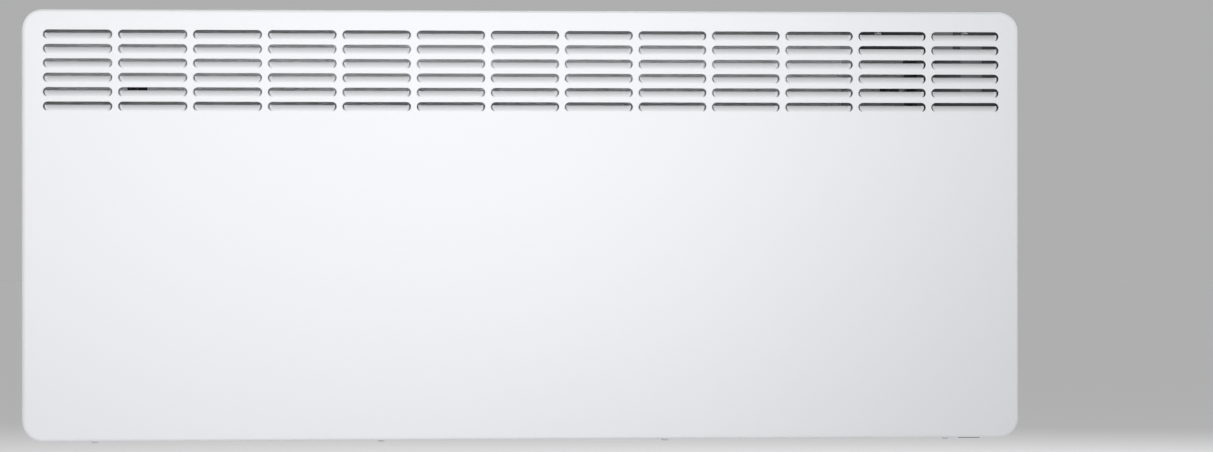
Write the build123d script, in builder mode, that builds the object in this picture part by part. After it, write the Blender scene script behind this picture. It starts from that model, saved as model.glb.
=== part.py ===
"""Wall panel convector heater with its wall bracket, in millimetres.

The origin is on the wall plane, at the centre of the four wall-screw holes.
+X runs to the viewer's right, +Y into the wall and +Z up; the louvred front faces -Y.
Every physical piece is a solid of its own, written to parts/ as one STEP file.
"""

from build123d import *
from math import cos, radians, sin
import os

os.makedirs("parts", exist_ok=True)

# ------------------------------------------------------------------ driving dimensions
panel_w = 1050.0            # casing width
panel_h = 450.0             # casing height
heater_depth = 98.0         # front face to the rear face of the rear panel
wall_gap = 25.0             # rear panel to the wall
sheet = 1.0                 # casing and rear panel steel
corner_r = 20.0             # corners in the front view
bend_r = 3.0                # front edge bend
casing_depth = 80.0         # drawn depth of the casing's side walls
front_y = -(wall_gap + heater_depth)
back_y = -wall_gap
inside_y = back_y - sheet   # inner face of the rear panel
bottom_z = -panel_h / 2
side_x = panel_w / 2

# louvres, each cut along its top edge and pressed inwards
louvre_cols = 13
louvre_rows = 6
louvre_pitch_x = 78.0
louvre_pitch_z = 15.0
louvre_top_z = 204.1        # top edge of the first row
louvre_len = 72.0
louvre_h = 9.6
louvre_gap = 3.3            # open height seen from the front
louvre_reach = 5.4          # how far the free edge stands behind the front
louvre_corner = 3.2

# bottom flange and the screws that close the casing
flange_depth = 30.0
flange_cut_w = 1000.0
screw_xs = (-450.0, -150.0, 150.0, 450.0)
screw_y = front_y + 20.0
screw_head_r = 4.2
screw_head_h = 2.7
screw_shank_r = 2.0
screw_shank_l = 9.0
screw_notch_w = 4.5         # open notch in the casing's flange
screw_hole_w = 4.1          # square hole for the thread in the rear panel

# rear panel
tray_flange = 25.0          # depth of the top and side flanges
tray_bottom = 88.0          # depth of the bottom flange
tray_bottom_w = 1000.0
inlet_w = 46.0
inlet_d = 12.0
inlet_pitch = 58.0
inlet_count = 14
inlet_mid_x = -78.0
inlet_front_y = -78.0
inlet_back_y = -50.0
hook_x = 403.0
hook_hole_w = 21.0
hook_hole_top = 153.0
hook_hole_h = 16.0
bead_zs = (62.0, -30.0, -122.0)     # stiffening beads along the back
bead_l = 940.0
bead_h = 18.0
bead_deep = 1.4
bead_corner = 5.0
bead_slope = 45.0
bead_inset = 0.4            # from the bead's outer edge to its groove's edge

# wall bracket
rail_t = 1.5
rail_l = 880.0
rail_h = 44.0
rail_lip = 8.0
wall_hole_x = 300.0         # wall screws, half spacings
wall_hole_z = 150.0
wall_hole_r = 3.0
hook_w = 16.0
hook_t = 2.0
hook_reach = 29.5           # wall to the front of the hook's lip
hook_lip_top = 156.5
gusset_drop = 20.0
gusset_reach = 23.0
upright_x = 200.0
upright_w = 30.0
buffer_x = 380.0
buffer_w = 24.0
buffer_bevel = 1.5

# heating element and what carries it
element_y = -74.0
element_z = -112.0
element_x0 = -470.0
element_x1 = 310.0
barrel_r = 7.0
wing_span = 50.0
wing_t = 2.4
wing_angle = 36.0
wing_root_w = 16.0          # the slits stop at this block around the barrel
wing_root_h = 15.0
slit_w = 4.0
slit_count = 11
slit_pitch = 65.0
seal_w = 13.0
seal_l = 12.0
pin_w = 2.2
pin_l = 12.0
pin_offset = 2.4
carrier_t = 1.2
carrier_gap = 3.0
carrier_front_y = -100.0
carrier_z0 = -145.0
carrier_z1 = -80.0
carrier_foot = 16.0
shield_x0 = -460.0
shield_x1 = 300.0
shield_y = -37.0
shield_t = 0.8
shield_z0 = -190.0
shield_z1 = 80.0
cutout_x = 200.0
cutout_z = 20.0
cutout_plate_w = 30.0
cutout_plate_h = 15.0
cutout_plate_t = 1.0
cutout_disc_r = 7.0
cutout_disc_h = 8.0

# control compartment
partition_x = 350.5
partition_front_y = -119.0
partition_foot = 11.5
grommet_w = 12.0
grommet_wall = 2.0
grommet_lip = 2.0
grommet_lip_t = 1.5
housing_x0 = 418.0
housing_x1 = 511.0
duct_x0 = 353.0             # wire duct, an arm of the housing beside the hook hole
duct_z0 = 184.0
housing_y = -108.0
housing_z0 = 70.0
housing_z1 = 212.0
housing_t = 2.0
post_xs = (377.0, 470.0)
post_z = 203.0
post_r = 4.5
wire_window_x = 494.0
wire_window_w = 26.0
wire_window_d = 44.0
knob_y = -76.0
knob_z = 150.0
knob_r = 19.0
knob_x0 = 515.2
knob_face_x = 523.5
knob_top_x = 529.5
knob_edge = 0.8
knob_bar_l = 36.0
knob_bar_w = 7.0
knob_bar_draft = 4.0
pointer_w = 1.2
pointer_l = 10.0
pointer_d = 0.6
knob_rest_deg = -140.0      # pointer at rest, clockwise from straight up
spindle_r = 3.0
spindle_bore_r = 3.05
spindle_x0 = 491.5
spindle_end_gap = 0.5
spindle_x1 = 523.0
spindle_drive_w = 4.2       # square end that carries the knob
bezel_flange_w = 58.0
bezel_barrel_w = 50.0
bezel_hole_w = 50.4
bezel_recess_w = 46.0
bezel_floor_x = 514.0
bezel_flange_t = 1.5
bezel_edge = 0.7
bushing_r = 5.2
thermo_x0 = 485.0
thermo_size = 36.0

# rocker switch in the underside
switch_x = 478.5
switch_y = -75.0
switch_w = 20.6
switch_l = 27.6
switch_top_z = -200.0
switch_bezel_w = 23.0
switch_bezel_l = 30.0
switch_bezel_t = 2.8
switch_bezel_edge = 0.6
switch_play = 0.2
cavity_w = 16.6
cavity_l = 24.0
cavity_top_z = -212.0
pivot_z = -221.0
pivot_r = 1.5
pivot_hole_r = 1.55
rocker_w = 16.0
rocker_half_l = 11.0
rocker_end_drop = 5.4       # pivot down to the rocker's lower face, at its ends
rocker_mid_drop = 4.6       # and in the middle
rocker_end_top = -1.5
rocker_hub = 3.0
rocker_pin_l = 1.8
rocker_rest_deg = -8.0

# mains side
gland_x = 430.0
gland_y = -48.0
gland_bore_r = 4.0
gland_neck_r = 6.5
gland_neck_l = 12.0
gland_flange_w = 20.0
gland_flange_t = 2.0
gland_edge = 0.8
block_x = 423.0
block_z = -149.0
block_w = 46.0
block_h = 22.0
block_depth = 22.0
block_pitch = 15.0
block_ways = 3
block_well_w = 9.0
block_well_h = 12.0
block_well_d = 9.0
wire_r = 1.2
wire_rise_x = 370.0         # where the element's live wire turns upwards
wire_dip_x = 392.0          # where its neutral wire turns back to the block
wire_drop_x = 408.0
wire_low_z = -60.0
wire_high_z = 20.0
wire_cross_x = 460.0        # block to switch, level run and dip
wire_cross_z = -100.0
wire_dip_z = -130.0
tab_w = 6.3
tab_t = 0.8
tab_l = 8.0
switch_tab_offset = 7.0
thermo_tab_x = 497.0
thermo_tab_offset = 10.0


def ship(builder, label):
    """Name a finished piece and write it to its file."""
    builder.part.label = label
    export_step(builder.part, f"parts/{label}.step")


# ================================================================== front casing
# One louvre is a pocket with a sloping blade for its floor: the blade starts flush at the
# slot's lower edge and stops short of the upper edge, which leaves the air gap.
blade_t = sheet * ((louvre_h - louvre_gap) ** 2 + louvre_reach**2) ** 0.5 / (louvre_h - louvre_gap)
blade_foot = (blade_t - sheet) * (louvre_h - louvre_gap) / louvre_reach

with BuildPart() as louvre_skin:
    with BuildSketch(Plane.XZ.offset(-front_y)) as skin_outline:
        with Locations((0, -louvre_h / 2)):
            Rectangle(louvre_len, louvre_h)
        chamfer(skin_outline.vertices(), length=louvre_corner)
        offset(amount=sheet, kind=Kind.INTERSECTION)
    extrude(amount=-(louvre_reach + 2 * sheet))
    with BuildSketch(Plane.YZ.offset(-louvre_len)):
        with BuildLine():
            Polyline(
                (front_y, -louvre_gap),
                (front_y, -louvre_h - blade_foot),
                (front_y + sheet, -louvre_h - blade_foot),
                (front_y + louvre_reach + blade_t, -louvre_gap),
                close=True,
            )
        make_face()
    extrude(amount=2 * louvre_len, mode=Mode.INTERSECT)

with BuildPart() as louvre_void:
    with BuildSketch(Plane.XZ.offset(-front_y)) as void_outline:
        with Locations((0, -louvre_h / 2)):
            Rectangle(louvre_len, louvre_h)
        chamfer(void_outline.vertices(), length=louvre_corner)
    extrude(amount=-(louvre_reach + 2 * sheet))
    with BuildSketch(Plane.YZ.offset(-louvre_len)):
        with BuildLine():
            Polyline(
                (front_y, -louvre_h),
                (front_y + louvre_reach, -louvre_gap),
                (front_y + 2 * louvre_reach, -louvre_gap),
                (front_y + 2 * louvre_reach, -2 * louvre_h),
                (front_y, -2 * louvre_h),
                close=True,
            )
        make_face()
    extrude(amount=2 * louvre_len, mode=Mode.SUBTRACT)

louvre_spots = [
    (louvre_pitch_x * (col - (louvre_cols - 1) / 2), 0, louvre_top_z - louvre_pitch_z * row)
    for row in range(louvre_rows)
    for col in range(louvre_cols)
]
flange_edge_y = front_y + flange_depth
casing_back_y = front_y + casing_depth

with BuildPart() as front_casing:
    with BuildSketch(Plane.XZ.offset(-front_y)):
        RectangleRounded(panel_w, panel_h, corner_r)
    extrude(amount=-casing_depth)
    offset(amount=-sheet, openings=front_casing.faces().sort_by(Axis.Y)[-1])
    front_face = front_casing.faces().filter_by(Axis.Y).sort_by(Axis.Y)[0]
    inner_face = front_casing.faces().filter_by(Axis.Y).sort_by(Axis.Y)[1]
    fillet(front_face.outer_wire().edges(), radius=bend_r)
    chamfer(inner_face.outer_wire().edges(), length=bend_r - sheet)
    with Locations(*louvre_spots):
        add(louvre_skin.part)
    with Locations(*louvre_spots):
        add(louvre_void.part, mode=Mode.SUBTRACT)
    # the underside keeps a short flange, notched so that it slides in under the screw heads
    with BuildSketch(Plane.XY.offset(bottom_z - sheet)):
        with Locations((0, (flange_edge_y + casing_back_y) / 2 + sheet)):
            Rectangle(flange_cut_w, casing_back_y - flange_edge_y + 2 * sheet)
        notch_front_y = screw_y - screw_notch_w / 2
        with Locations(*[(x, (notch_front_y + flange_edge_y) / 2 + sheet) for x in screw_xs]):
            Rectangle(screw_notch_w, flange_edge_y - notch_front_y + 2 * sheet)
    extrude(amount=3 * sheet, mode=Mode.SUBTRACT)
    # opening for the thermostat's knob recess in the right side wall
    with BuildSketch(Plane.YZ.offset(side_x - 2 * sheet)):
        with Locations((knob_y, knob_z)):
            Rectangle(bezel_hole_w, bezel_hole_w)
    extrude(amount=3 * sheet, mode=Mode.SUBTRACT)
ship(front_casing, "front_casing")

# ================================================================== rear panel
# Folded steel tray that nests inside the casing's edge; its bottom flange runs forward
# under the element, with the air inlets, and takes the casing's screws.
with BuildPart() as rear_panel:
    with BuildSketch(Plane.XZ.offset(-back_y)):
        RectangleRounded(panel_w - 2 * sheet, panel_h - 2 * sheet, corner_r - sheet)
    extrude(amount=tray_bottom)
    offset(amount=-sheet, openings=rear_panel.faces().sort_by(Axis.Y)[0])
    with BuildSketch(Plane.XZ.offset(-back_y + tray_flange)):
        Rectangle(panel_w + 2 * sheet, panel_h + 2 * sheet)
        with Locations((0, bottom_z + sheet)):
            Rectangle(tray_bottom_w, 4 * sheet, mode=Mode.SUBTRACT)
    extrude(amount=tray_bottom, mode=Mode.SUBTRACT)
    with BuildSketch(Plane.XY.offset(bottom_z)):
        with Locations((inlet_mid_x, (inlet_front_y + inlet_back_y) / 2)):
            with GridLocations(inlet_pitch, inlet_back_y - inlet_front_y, inlet_count, 2):
                Rectangle(inlet_w, inlet_d)
        with Locations(*[(x, screw_y) for x in screw_xs]):
            Rectangle(screw_hole_w, screw_hole_w)
        with Locations((switch_x, switch_y)):
            Rectangle(switch_w + 2 * switch_play, switch_l + 2 * switch_play)
        with Locations((gland_x, gland_y)):
            Circle(gland_neck_r)
    extrude(amount=3 * sheet, mode=Mode.SUBTRACT)
    with BuildSketch(Plane.XZ.offset(-back_y - sheet)):
        with Locations((0, hook_hole_top - hook_hole_h / 2)):
            with GridLocations(2 * hook_x, 1, 2, 1):
                Rectangle(hook_hole_w, hook_hole_h)
    extrude(amount=3 * sheet, mode=Mode.SUBTRACT)
    # beads pressed outwards, each with its groove on the inside
    with BuildSketch(Plane.XZ.offset(-back_y)) as bead_outline:
        with Locations(*[(0, z) for z in bead_zs]):
            Rectangle(bead_l, bead_h)
        chamfer(bead_outline.vertices(), length=bead_corner)
    extrude(amount=-bead_deep, taper=bead_slope)
    with BuildSketch(Plane.XZ.offset(-inside_y)) as groove_outline:
        with Locations(*[(0, z) for z in bead_zs]):
            Rectangle(bead_l - 2 * bead_inset, bead_h - 2 * bead_inset)
        chamfer(groove_outline.vertices(), length=bead_corner)
    extrude(amount=-bead_deep, taper=bead_slope, mode=Mode.SUBTRACT)
ship(rear_panel, "rear_panel")

# Four screws through both bottom flanges, driven from below; their threads are six-sided.
with BuildPart() as casing_screws:
    with BuildSketch(Plane.XY.offset(bottom_z)):
        with Locations(*[(x, screw_y) for x in screw_xs]):
            Circle(screw_head_r)
    extrude(amount=-screw_head_h)
    with BuildSketch(Plane.XY.offset(bottom_z)):
        with Locations(*[(x, screw_y) for x in screw_xs]):
            RegularPolygon(screw_shank_r, 6)
    extrude(amount=screw_shank_l)
ship(casing_screws, "casing_screws")

# ================================================================== wall bracket
# Two folded rails joined by uprights. The upper rail carries the hooks that reach through
# the rear panel's holes; the lower one carries rubber buffers that keep the heater plumb.

with BuildPart() as upper_rail:
    with BuildSketch(Plane.YZ.offset(-rail_l / 2)):
        with Locations((-rail_lip / 2, wall_hole_z)):
            Rectangle(rail_lip, rail_h)
        with Locations((-rail_t - rail_lip / 2, wall_hole_z)):
            Rectangle(rail_lip, rail_h - 2 * rail_t, mode=Mode.SUBTRACT)
    extrude(amount=rail_l)
    with BuildSketch(Plane.YZ.offset(hook_x - hook_w / 2)):
        with BuildLine():
            Polyline(
                (-rail_t, hook_hole_top - hook_t),
                (-hook_reach, hook_hole_top - hook_t),
                (-hook_reach, hook_lip_top),
                (-hook_reach + hook_t, hook_lip_top),
                (-hook_reach + hook_t, hook_hole_top),
                (-rail_t, hook_hole_top),
                close=True,
            )
        make_face()
    hook = extrude(amount=hook_w)
    mirror(hook, about=Plane.YZ)
    with BuildSketch(Plane.YZ.offset(hook_x - hook_t / 2)):
        with BuildLine():
            Polyline(
                (-rail_t, hook_hole_top - hook_t),
                (-rail_t, hook_hole_top - hook_t - gusset_drop),
                (-gusset_reach, hook_hole_top - hook_t),
                close=True,
            )
        make_face()
    gusset = extrude(amount=hook_t)
    mirror(gusset, about=Plane.YZ)
    with BuildSketch(Plane.XZ.offset(-rail_t)):
        with Locations((-wall_hole_x, wall_hole_z), (wall_hole_x, wall_hole_z)):
            Circle(wall_hole_r)
    extrude(amount=3 * rail_t, mode=Mode.SUBTRACT)
ship(upper_rail, "upper_rail")

with BuildPart() as lower_rail:
    with BuildSketch(Plane.YZ.offset(-rail_l / 2)):
        with Locations((-rail_lip / 2, -wall_hole_z)):
            Rectangle(rail_lip, rail_h)
        with Locations((-rail_t - rail_lip / 2, -wall_hole_z)):
            Rectangle(rail_lip, rail_h - 2 * rail_t, mode=Mode.SUBTRACT)
    extrude(amount=rail_l)
    with BuildSketch(Plane.XZ.offset(-rail_t)):
        with Locations((-wall_hole_x, -wall_hole_z), (wall_hole_x, -wall_hole_z)):
            Circle(wall_hole_r)
    extrude(amount=3 * rail_t, mode=Mode.SUBTRACT)
ship(lower_rail, "lower_rail")

upright_h = 2 * wall_hole_z - rail_h
with BuildPart() as bracket_uprights:
    with BuildSketch(Plane.XY.offset(-upright_h / 2)):
        with Locations((-upright_x, -rail_lip / 2), (upright_x, -rail_lip / 2)):
            Rectangle(upright_w, rail_lip)
        with Locations((-upright_x, -rail_t - rail_lip / 2), (upright_x, -rail_t - rail_lip / 2)):
            Rectangle(upright_w - 2 * rail_t, rail_lip, mode=Mode.SUBTRACT)
    extrude(amount=upright_h)
ship(bracket_uprights, "bracket_uprights")

with BuildPart() as wall_buffers:
    with BuildSketch(Plane.XZ.offset(rail_t)):
        with Locations((-buffer_x, -wall_hole_z), (buffer_x, -wall_hole_z)):
            Rectangle(buffer_w, buffer_w)
    extrude(amount=wall_gap - rail_t)
    chamfer(wall_buffers.faces().group_by(Axis.Y)[0].edges(), length=buffer_bevel)
ship(wall_buffers, "wall_buffers")

# ================================================================== heating element
# Aluminium X section around a sheathed heater, slit so that it can grow without buckling.
with BuildPart() as element_slit:
    with BuildSketch(Plane.YZ.offset(-slit_w / 2)):
        with Locations((element_y, element_z)):
            Rectangle(wing_span, wing_span)
            Rectangle(wing_root_w, wing_root_h, mode=Mode.SUBTRACT)
    extrude(amount=slit_w)

with BuildPart() as heating_element:
    with BuildSketch(Plane.YZ.offset(element_x0)):
        with Locations((element_y, element_z)):
            Circle(barrel_r)
            Rectangle(wing_span, wing_t, rotation=wing_angle)
            Rectangle(wing_span, wing_t, rotation=-wing_angle)
    extrude(amount=element_x1 - element_x0)
    with Locations(*[(element_x0 + slit_pitch * (i + 1), 0, 0) for i in range(slit_count)]):
        add(element_slit.part, mode=Mode.SUBTRACT)
ship(heating_element, "heating_element")

# Ceramic seals at both ends of the element, and the two terminal pins in the right one.
with BuildPart() as element_seals:
    with BuildSketch(Plane.YZ.offset(element_x1)):
        with Locations((element_y, element_z)):
            Rectangle(seal_w, seal_w)
    extrude(amount=seal_l)
    with BuildSketch(Plane.YZ.offset(element_x0)):
        with Locations((element_y, element_z)):
            Rectangle(seal_w, seal_w)
    extrude(amount=-seal_l)
ship(element_seals, "element_seals")

with BuildPart() as element_pins:
    with BuildSketch(Plane.YZ.offset(element_x1 + seal_l)):
        with Locations((element_y - pin_offset, element_z), (element_y + pin_offset, element_z)):
            Rectangle(pin_w, pin_w)
    extrude(amount=pin_l)
ship(element_pins, "element_pins")

# Sheet carriers at the element's ends, each with a foot on the rear panel.
with BuildPart() as element_carriers:
    for face_x, outward in ((element_x1 + carrier_gap, 1), (element_x0 - carrier_gap, -1)):
        with BuildSketch(Plane.YZ.offset(face_x)):
            with Locations(((carrier_front_y + inside_y) / 2, (carrier_z0 + carrier_z1) / 2)):
                Rectangle(inside_y - carrier_front_y, carrier_z1 - carrier_z0)
            with Locations((element_y, element_z)):
                Rectangle(seal_w, seal_w, mode=Mode.SUBTRACT)
        extrude(amount=outward * carrier_t)
        with BuildSketch(Plane.YZ.offset(face_x)):
            with Locations((inside_y - carrier_t / 2, (carrier_z0 + carrier_z1) / 2)):
                Rectangle(carrier_t, carrier_z1 - carrier_z0)
        extrude(amount=outward * carrier_foot)
ship(element_carriers, "element_carriers")

# Reflector that keeps the rear panel cool, folded back onto it at the top and bottom.
with BuildPart() as heat_shield:
    with BuildSketch(Plane.YZ.offset(shield_x0)):
        with Locations(((shield_y + inside_y) / 2, (shield_z0 + shield_z1) / 2)):
            Rectangle(inside_y - shield_y, shield_z1 - shield_z0)
        with Locations(((shield_y + inside_y) / 2 + shield_t, (shield_z0 + shield_z1) / 2)):
            Rectangle(inside_y - shield_y, shield_z1 - shield_z0 - 2 * shield_t, mode=Mode.SUBTRACT)
    extrude(amount=shield_x1 - shield_x0)
ship(heat_shield, "heat_shield")

# Safety cut-out: a disc thermostat on a small mounting plate, on the shield's face.
with BuildPart() as thermal_cutout:
    with BuildSketch(Plane.XZ.offset(-shield_y)):
        with Locations((cutout_x, cutout_z)):
            Rectangle(cutout_plate_w, cutout_plate_h)
    extrude(amount=cutout_plate_t)
    with BuildSketch(Plane.XZ.offset(-shield_y + cutout_plate_t)):
        with Locations((cutout_x, cutout_z)):
            Circle(cutout_disc_r)
    extrude(amount=cutout_disc_h)
ship(thermal_cutout, "thermal_cutout")

# ================================================================== control compartment
with BuildPart() as partition:
    with BuildSketch(Plane.XY.offset(bottom_z + 2 * sheet)):
        with Locations((partition_x + sheet / 2, (partition_front_y + inside_y) / 2)):
            Rectangle(sheet, inside_y - partition_front_y)
        with Locations((partition_x - partition_foot / 2, inside_y - sheet / 2)):
            Rectangle(partition_foot, sheet)
    extrude(amount=panel_h - 4 * sheet)
    with BuildSketch(Plane.YZ.offset(partition_x - sheet)):
        with Locations((element_y, element_z)):
            Rectangle(grommet_w, grommet_w)
    extrude(amount=3 * sheet, mode=Mode.SUBTRACT)
ship(partition, "partition")

with BuildPart() as wire_grommet:
    with BuildSketch(Plane.YZ.offset(partition_x - grommet_lip_t)):
        with Locations((element_y, element_z)):
            Rectangle(grommet_w + 2 * grommet_lip, grommet_w + 2 * grommet_lip)
    extrude(amount=sheet + 2 * grommet_lip_t)
    with BuildSketch(Plane.YZ.offset(partition_x)):
        with Locations((element_y, element_z)):
            Rectangle(grommet_w + 3 * grommet_lip, grommet_w + 3 * grommet_lip)
            Rectangle(grommet_w, grommet_w, mode=Mode.SUBTRACT)
    extrude(amount=sheet, mode=Mode.SUBTRACT)
    with BuildSketch(Plane.YZ.offset(partition_x - 2 * grommet_lip_t)):
        with Locations((element_y, element_z)):
            Rectangle(grommet_w - 2 * grommet_wall, grommet_w - 2 * grommet_wall)
    extrude(amount=sheet + 4 * grommet_lip_t, mode=Mode.SUBTRACT)
ship(wire_grommet, "wire_grommet")

# Moulded housing over the thermostat with a wire duct as its upper arm, open to the rear
# and held on two six-sided posts.
with BuildPart() as control_housing:
    with BuildSketch(Plane.XZ.offset(-inside_y)):
        with Locations(((housing_x0 + housing_x1) / 2, (housing_z0 + housing_z1) / 2)):
            Rectangle(housing_x1 - housing_x0, housing_z1 - housing_z0)
        with Locations(((duct_x0 + housing_x1) / 2, (duct_z0 + housing_z1) / 2)):
            Rectangle(housing_x1 - duct_x0, housing_z1 - duct_z0)
    extrude(amount=inside_y - housing_y)
    offset(amount=-housing_t, openings=control_housing.faces().sort_by(Axis.Y)[-1])
    with BuildSketch(Plane.YZ.offset(housing_x1 - 2 * housing_t)):
        with Locations((knob_y, knob_z)):
            Circle(bushing_r)
    extrude(amount=3 * housing_t, mode=Mode.SUBTRACT)
    with BuildSketch(Plane.XY.offset(housing_z0 - housing_t)):
        with Locations((wire_window_x, knob_y)):
            Rectangle(wire_window_w, wire_window_d)
    extrude(amount=3 * housing_t, mode=Mode.SUBTRACT)
ship(control_housing, "control_housing")

with BuildPart() as housing_posts:
    with BuildSketch(Plane.XZ.offset(-inside_y)):
        with Locations(*[(x, post_z) for x in post_xs]):
            RegularPolygon(post_r, 6)
    extrude(amount=inside_y - housing_y - housing_t)
ship(housing_posts, "housing_posts")

# Thermostat body with a threaded nose that the spindle turns in.
with BuildPart() as thermostat_body:
    with BuildSketch(Plane.YZ.offset(thermo_x0)):
        with Locations((knob_y, knob_z)):
            Rectangle(thermo_size, thermo_size)
    extrude(amount=housing_x1 - housing_t - thermo_x0)
    with BuildSketch(Plane.YZ.offset(housing_x1 - housing_t)):
        with Locations((knob_y, knob_z)):
            Circle(bushing_r)
    extrude(amount=bezel_floor_x - housing_x1 + housing_t)
    with BuildSketch(Plane.YZ.offset(bezel_floor_x)):
        with Locations((knob_y, knob_z)):
            Circle(spindle_bore_r)
    extrude(amount=-(bezel_floor_x - spindle_x0 + spindle_end_gap), mode=Mode.SUBTRACT)
ship(thermostat_body, "thermostat_body")

# Recessed cup in the side wall, in which the knob sits.
with BuildPart() as control_bezel:
    with BuildSketch(Plane.YZ.offset(housing_x1)):
        with Locations((knob_y, knob_z)):
            Rectangle(bezel_barrel_w, bezel_barrel_w)
    extrude(amount=side_x - housing_x1)
    with BuildSketch(Plane.YZ.offset(side_x)):
        with Locations((knob_y, knob_z)):
            Rectangle(bezel_flange_w, bezel_flange_w)
    extrude(amount=bezel_flange_t)
    chamfer(control_bezel.faces().sort_by(Axis.X)[-1].edges(), length=bezel_edge)
    with BuildSketch(Plane.YZ.offset(bezel_floor_x)):
        with Locations((knob_y, knob_z)):
            Rectangle(bezel_recess_w, bezel_recess_w)
    extrude(amount=side_x + 2 * bezel_flange_t - bezel_floor_x, mode=Mode.SUBTRACT)
    with BuildSketch(Plane.YZ.offset(housing_x1 - housing_t)):
        with Locations((knob_y, knob_z)):
            Circle(bushing_r)
    extrude(amount=bezel_floor_x - housing_x1 + 2 * housing_t, mode=Mode.SUBTRACT)
ship(control_bezel, "control_bezel")

# The knob's sketch plane turns with its rest angle, so local +Y is the pointer's direction.
pointer = radians(knob_rest_deg)
knob_plane = Plane(
    origin=(knob_x0, knob_y, knob_z),
    x_dir=(0, cos(pointer), -sin(pointer)),
    z_dir=(1, 0, 0),
)

with BuildPart() as thermostat_knob:
    with BuildSketch(knob_plane):
        Circle(knob_r)
    extrude(amount=knob_face_x - knob_x0)
    chamfer(thermostat_knob.faces().sort_by(Axis.X)[-1].edges(), length=knob_edge)
    with BuildSketch(knob_plane.offset(knob_face_x - knob_x0)):
        Rectangle(knob_bar_w, knob_bar_l)
    extrude(amount=knob_top_x - knob_face_x, taper=knob_bar_draft)
    with BuildSketch(knob_plane):
        Rectangle(spindle_drive_w, spindle_drive_w)
    extrude(amount=spindle_x1 - knob_x0, mode=Mode.SUBTRACT)
    with BuildSketch(knob_plane.offset(knob_top_x - knob_x0)):
        with Locations((0, knob_bar_l / 2 - pointer_l / 2)):
            Rectangle(pointer_w, pointer_l)
    extrude(amount=-pointer_d, mode=Mode.SUBTRACT)
ship(thermostat_knob, "thermostat_knob")

with BuildPart() as thermostat_spindle:
    with BuildSketch(knob_plane.offset(spindle_x0 - knob_x0)):
        Circle(spindle_r)
    extrude(amount=knob_x0 - spindle_x0)
    with BuildSketch(knob_plane):
        Rectangle(spindle_drive_w, spindle_drive_w)
    extrude(amount=spindle_x1 - knob_x0)
ship(thermostat_spindle, "thermostat_spindle")

# ================================================================== rocker switch
with BuildPart() as switch_body:
    with BuildSketch(Plane.XY.offset(bottom_z + sheet)):
        with Locations((switch_x, switch_y)):
            Rectangle(switch_bezel_w, switch_bezel_l)
    extrude(amount=-switch_bezel_t)
    chamfer(switch_body.faces().sort_by(Axis.Z)[0].edges(), length=switch_bezel_edge)
    with BuildSketch(Plane.XY.offset(bottom_z + sheet)):
        with Locations((switch_x, switch_y)):
            Rectangle(switch_w, switch_l)
    extrude(amount=switch_top_z - bottom_z - sheet)
    with BuildSketch(Plane.XY.offset(bottom_z + sheet - switch_bezel_t)):
        with Locations((switch_x, switch_y)):
            Rectangle(cavity_w, cavity_l)
    extrude(amount=cavity_top_z - bottom_z - sheet + switch_bezel_t, mode=Mode.SUBTRACT)
    with BuildSketch(Plane.YZ.offset(switch_x - switch_w)):
        with Locations((switch_y, pivot_z)):
            Circle(pivot_hole_r)
    extrude(amount=2 * switch_w, mode=Mode.SUBTRACT)
ship(switch_body, "switch_body")

# The rocker is drawn level on a plane tilted to its rest position; its lower face is a
# shallow V, so one end is always proud of the bezel and the other sunk in it.
tilt = radians(rocker_rest_deg)
rocker_plane = Plane(
    origin=(switch_x, switch_y, pivot_z),
    x_dir=(0, cos(tilt), sin(tilt)),
    z_dir=(1, 0, 0),
)
with BuildPart() as switch_rocker:
    with BuildSketch(rocker_plane.offset(-rocker_w / 2)):
        with BuildLine():
            Polyline(
                (-rocker_half_l, -rocker_end_drop),
                (0, -rocker_mid_drop),
                (rocker_half_l, -rocker_end_drop),
                (rocker_half_l, rocker_end_top),
                (rocker_hub, rocker_hub),
                (-rocker_hub, rocker_hub),
                (-rocker_half_l, rocker_end_top),
                close=True,
            )
        make_face()
    extrude(amount=rocker_w)
    with BuildSketch(rocker_plane):
        Circle(pivot_r)
    extrude(amount=rocker_w / 2 + rocker_pin_l, both=True)
ship(switch_rocker, "switch_rocker")

# ================================================================== mains side and wiring
with BuildPart() as cable_gland:
    with BuildSketch(Plane.XY.offset(bottom_z + sheet)):
        with Locations((gland_x, gland_y)):
            Rectangle(gland_flange_w, gland_flange_w)
    extrude(amount=-gland_flange_t)
    chamfer(cable_gland.faces().sort_by(Axis.Z)[0].edges(), length=gland_edge)
    with BuildSketch(Plane.XY.offset(bottom_z + sheet)):
        with Locations((gland_x, gland_y)):
            Circle(gland_neck_r)
    extrude(amount=gland_neck_l)
    with BuildSketch(Plane.XY.offset(bottom_z - gland_flange_t)):
        with Locations((gland_x, gland_y)):
            Circle(gland_bore_r)
    extrude(amount=2 * gland_neck_l, mode=Mode.SUBTRACT)
ship(cable_gland, "cable_gland")

with BuildPart() as terminal_block:
    with BuildSketch(Plane.XZ.offset(-inside_y)):
        with Locations((block_x, block_z)):
            Rectangle(block_w, block_h)
    extrude(amount=block_depth)
    with BuildSketch(Plane.XZ.offset(-inside_y + block_depth)):
        with Locations((block_x, block_z)):
            with GridLocations(block_pitch, block_pitch, block_ways, 1):
                Rectangle(block_well_w, block_well_h)
    extrude(amount=-block_well_d, mode=Mode.SUBTRACT)
ship(terminal_block, "terminal_block")

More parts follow.
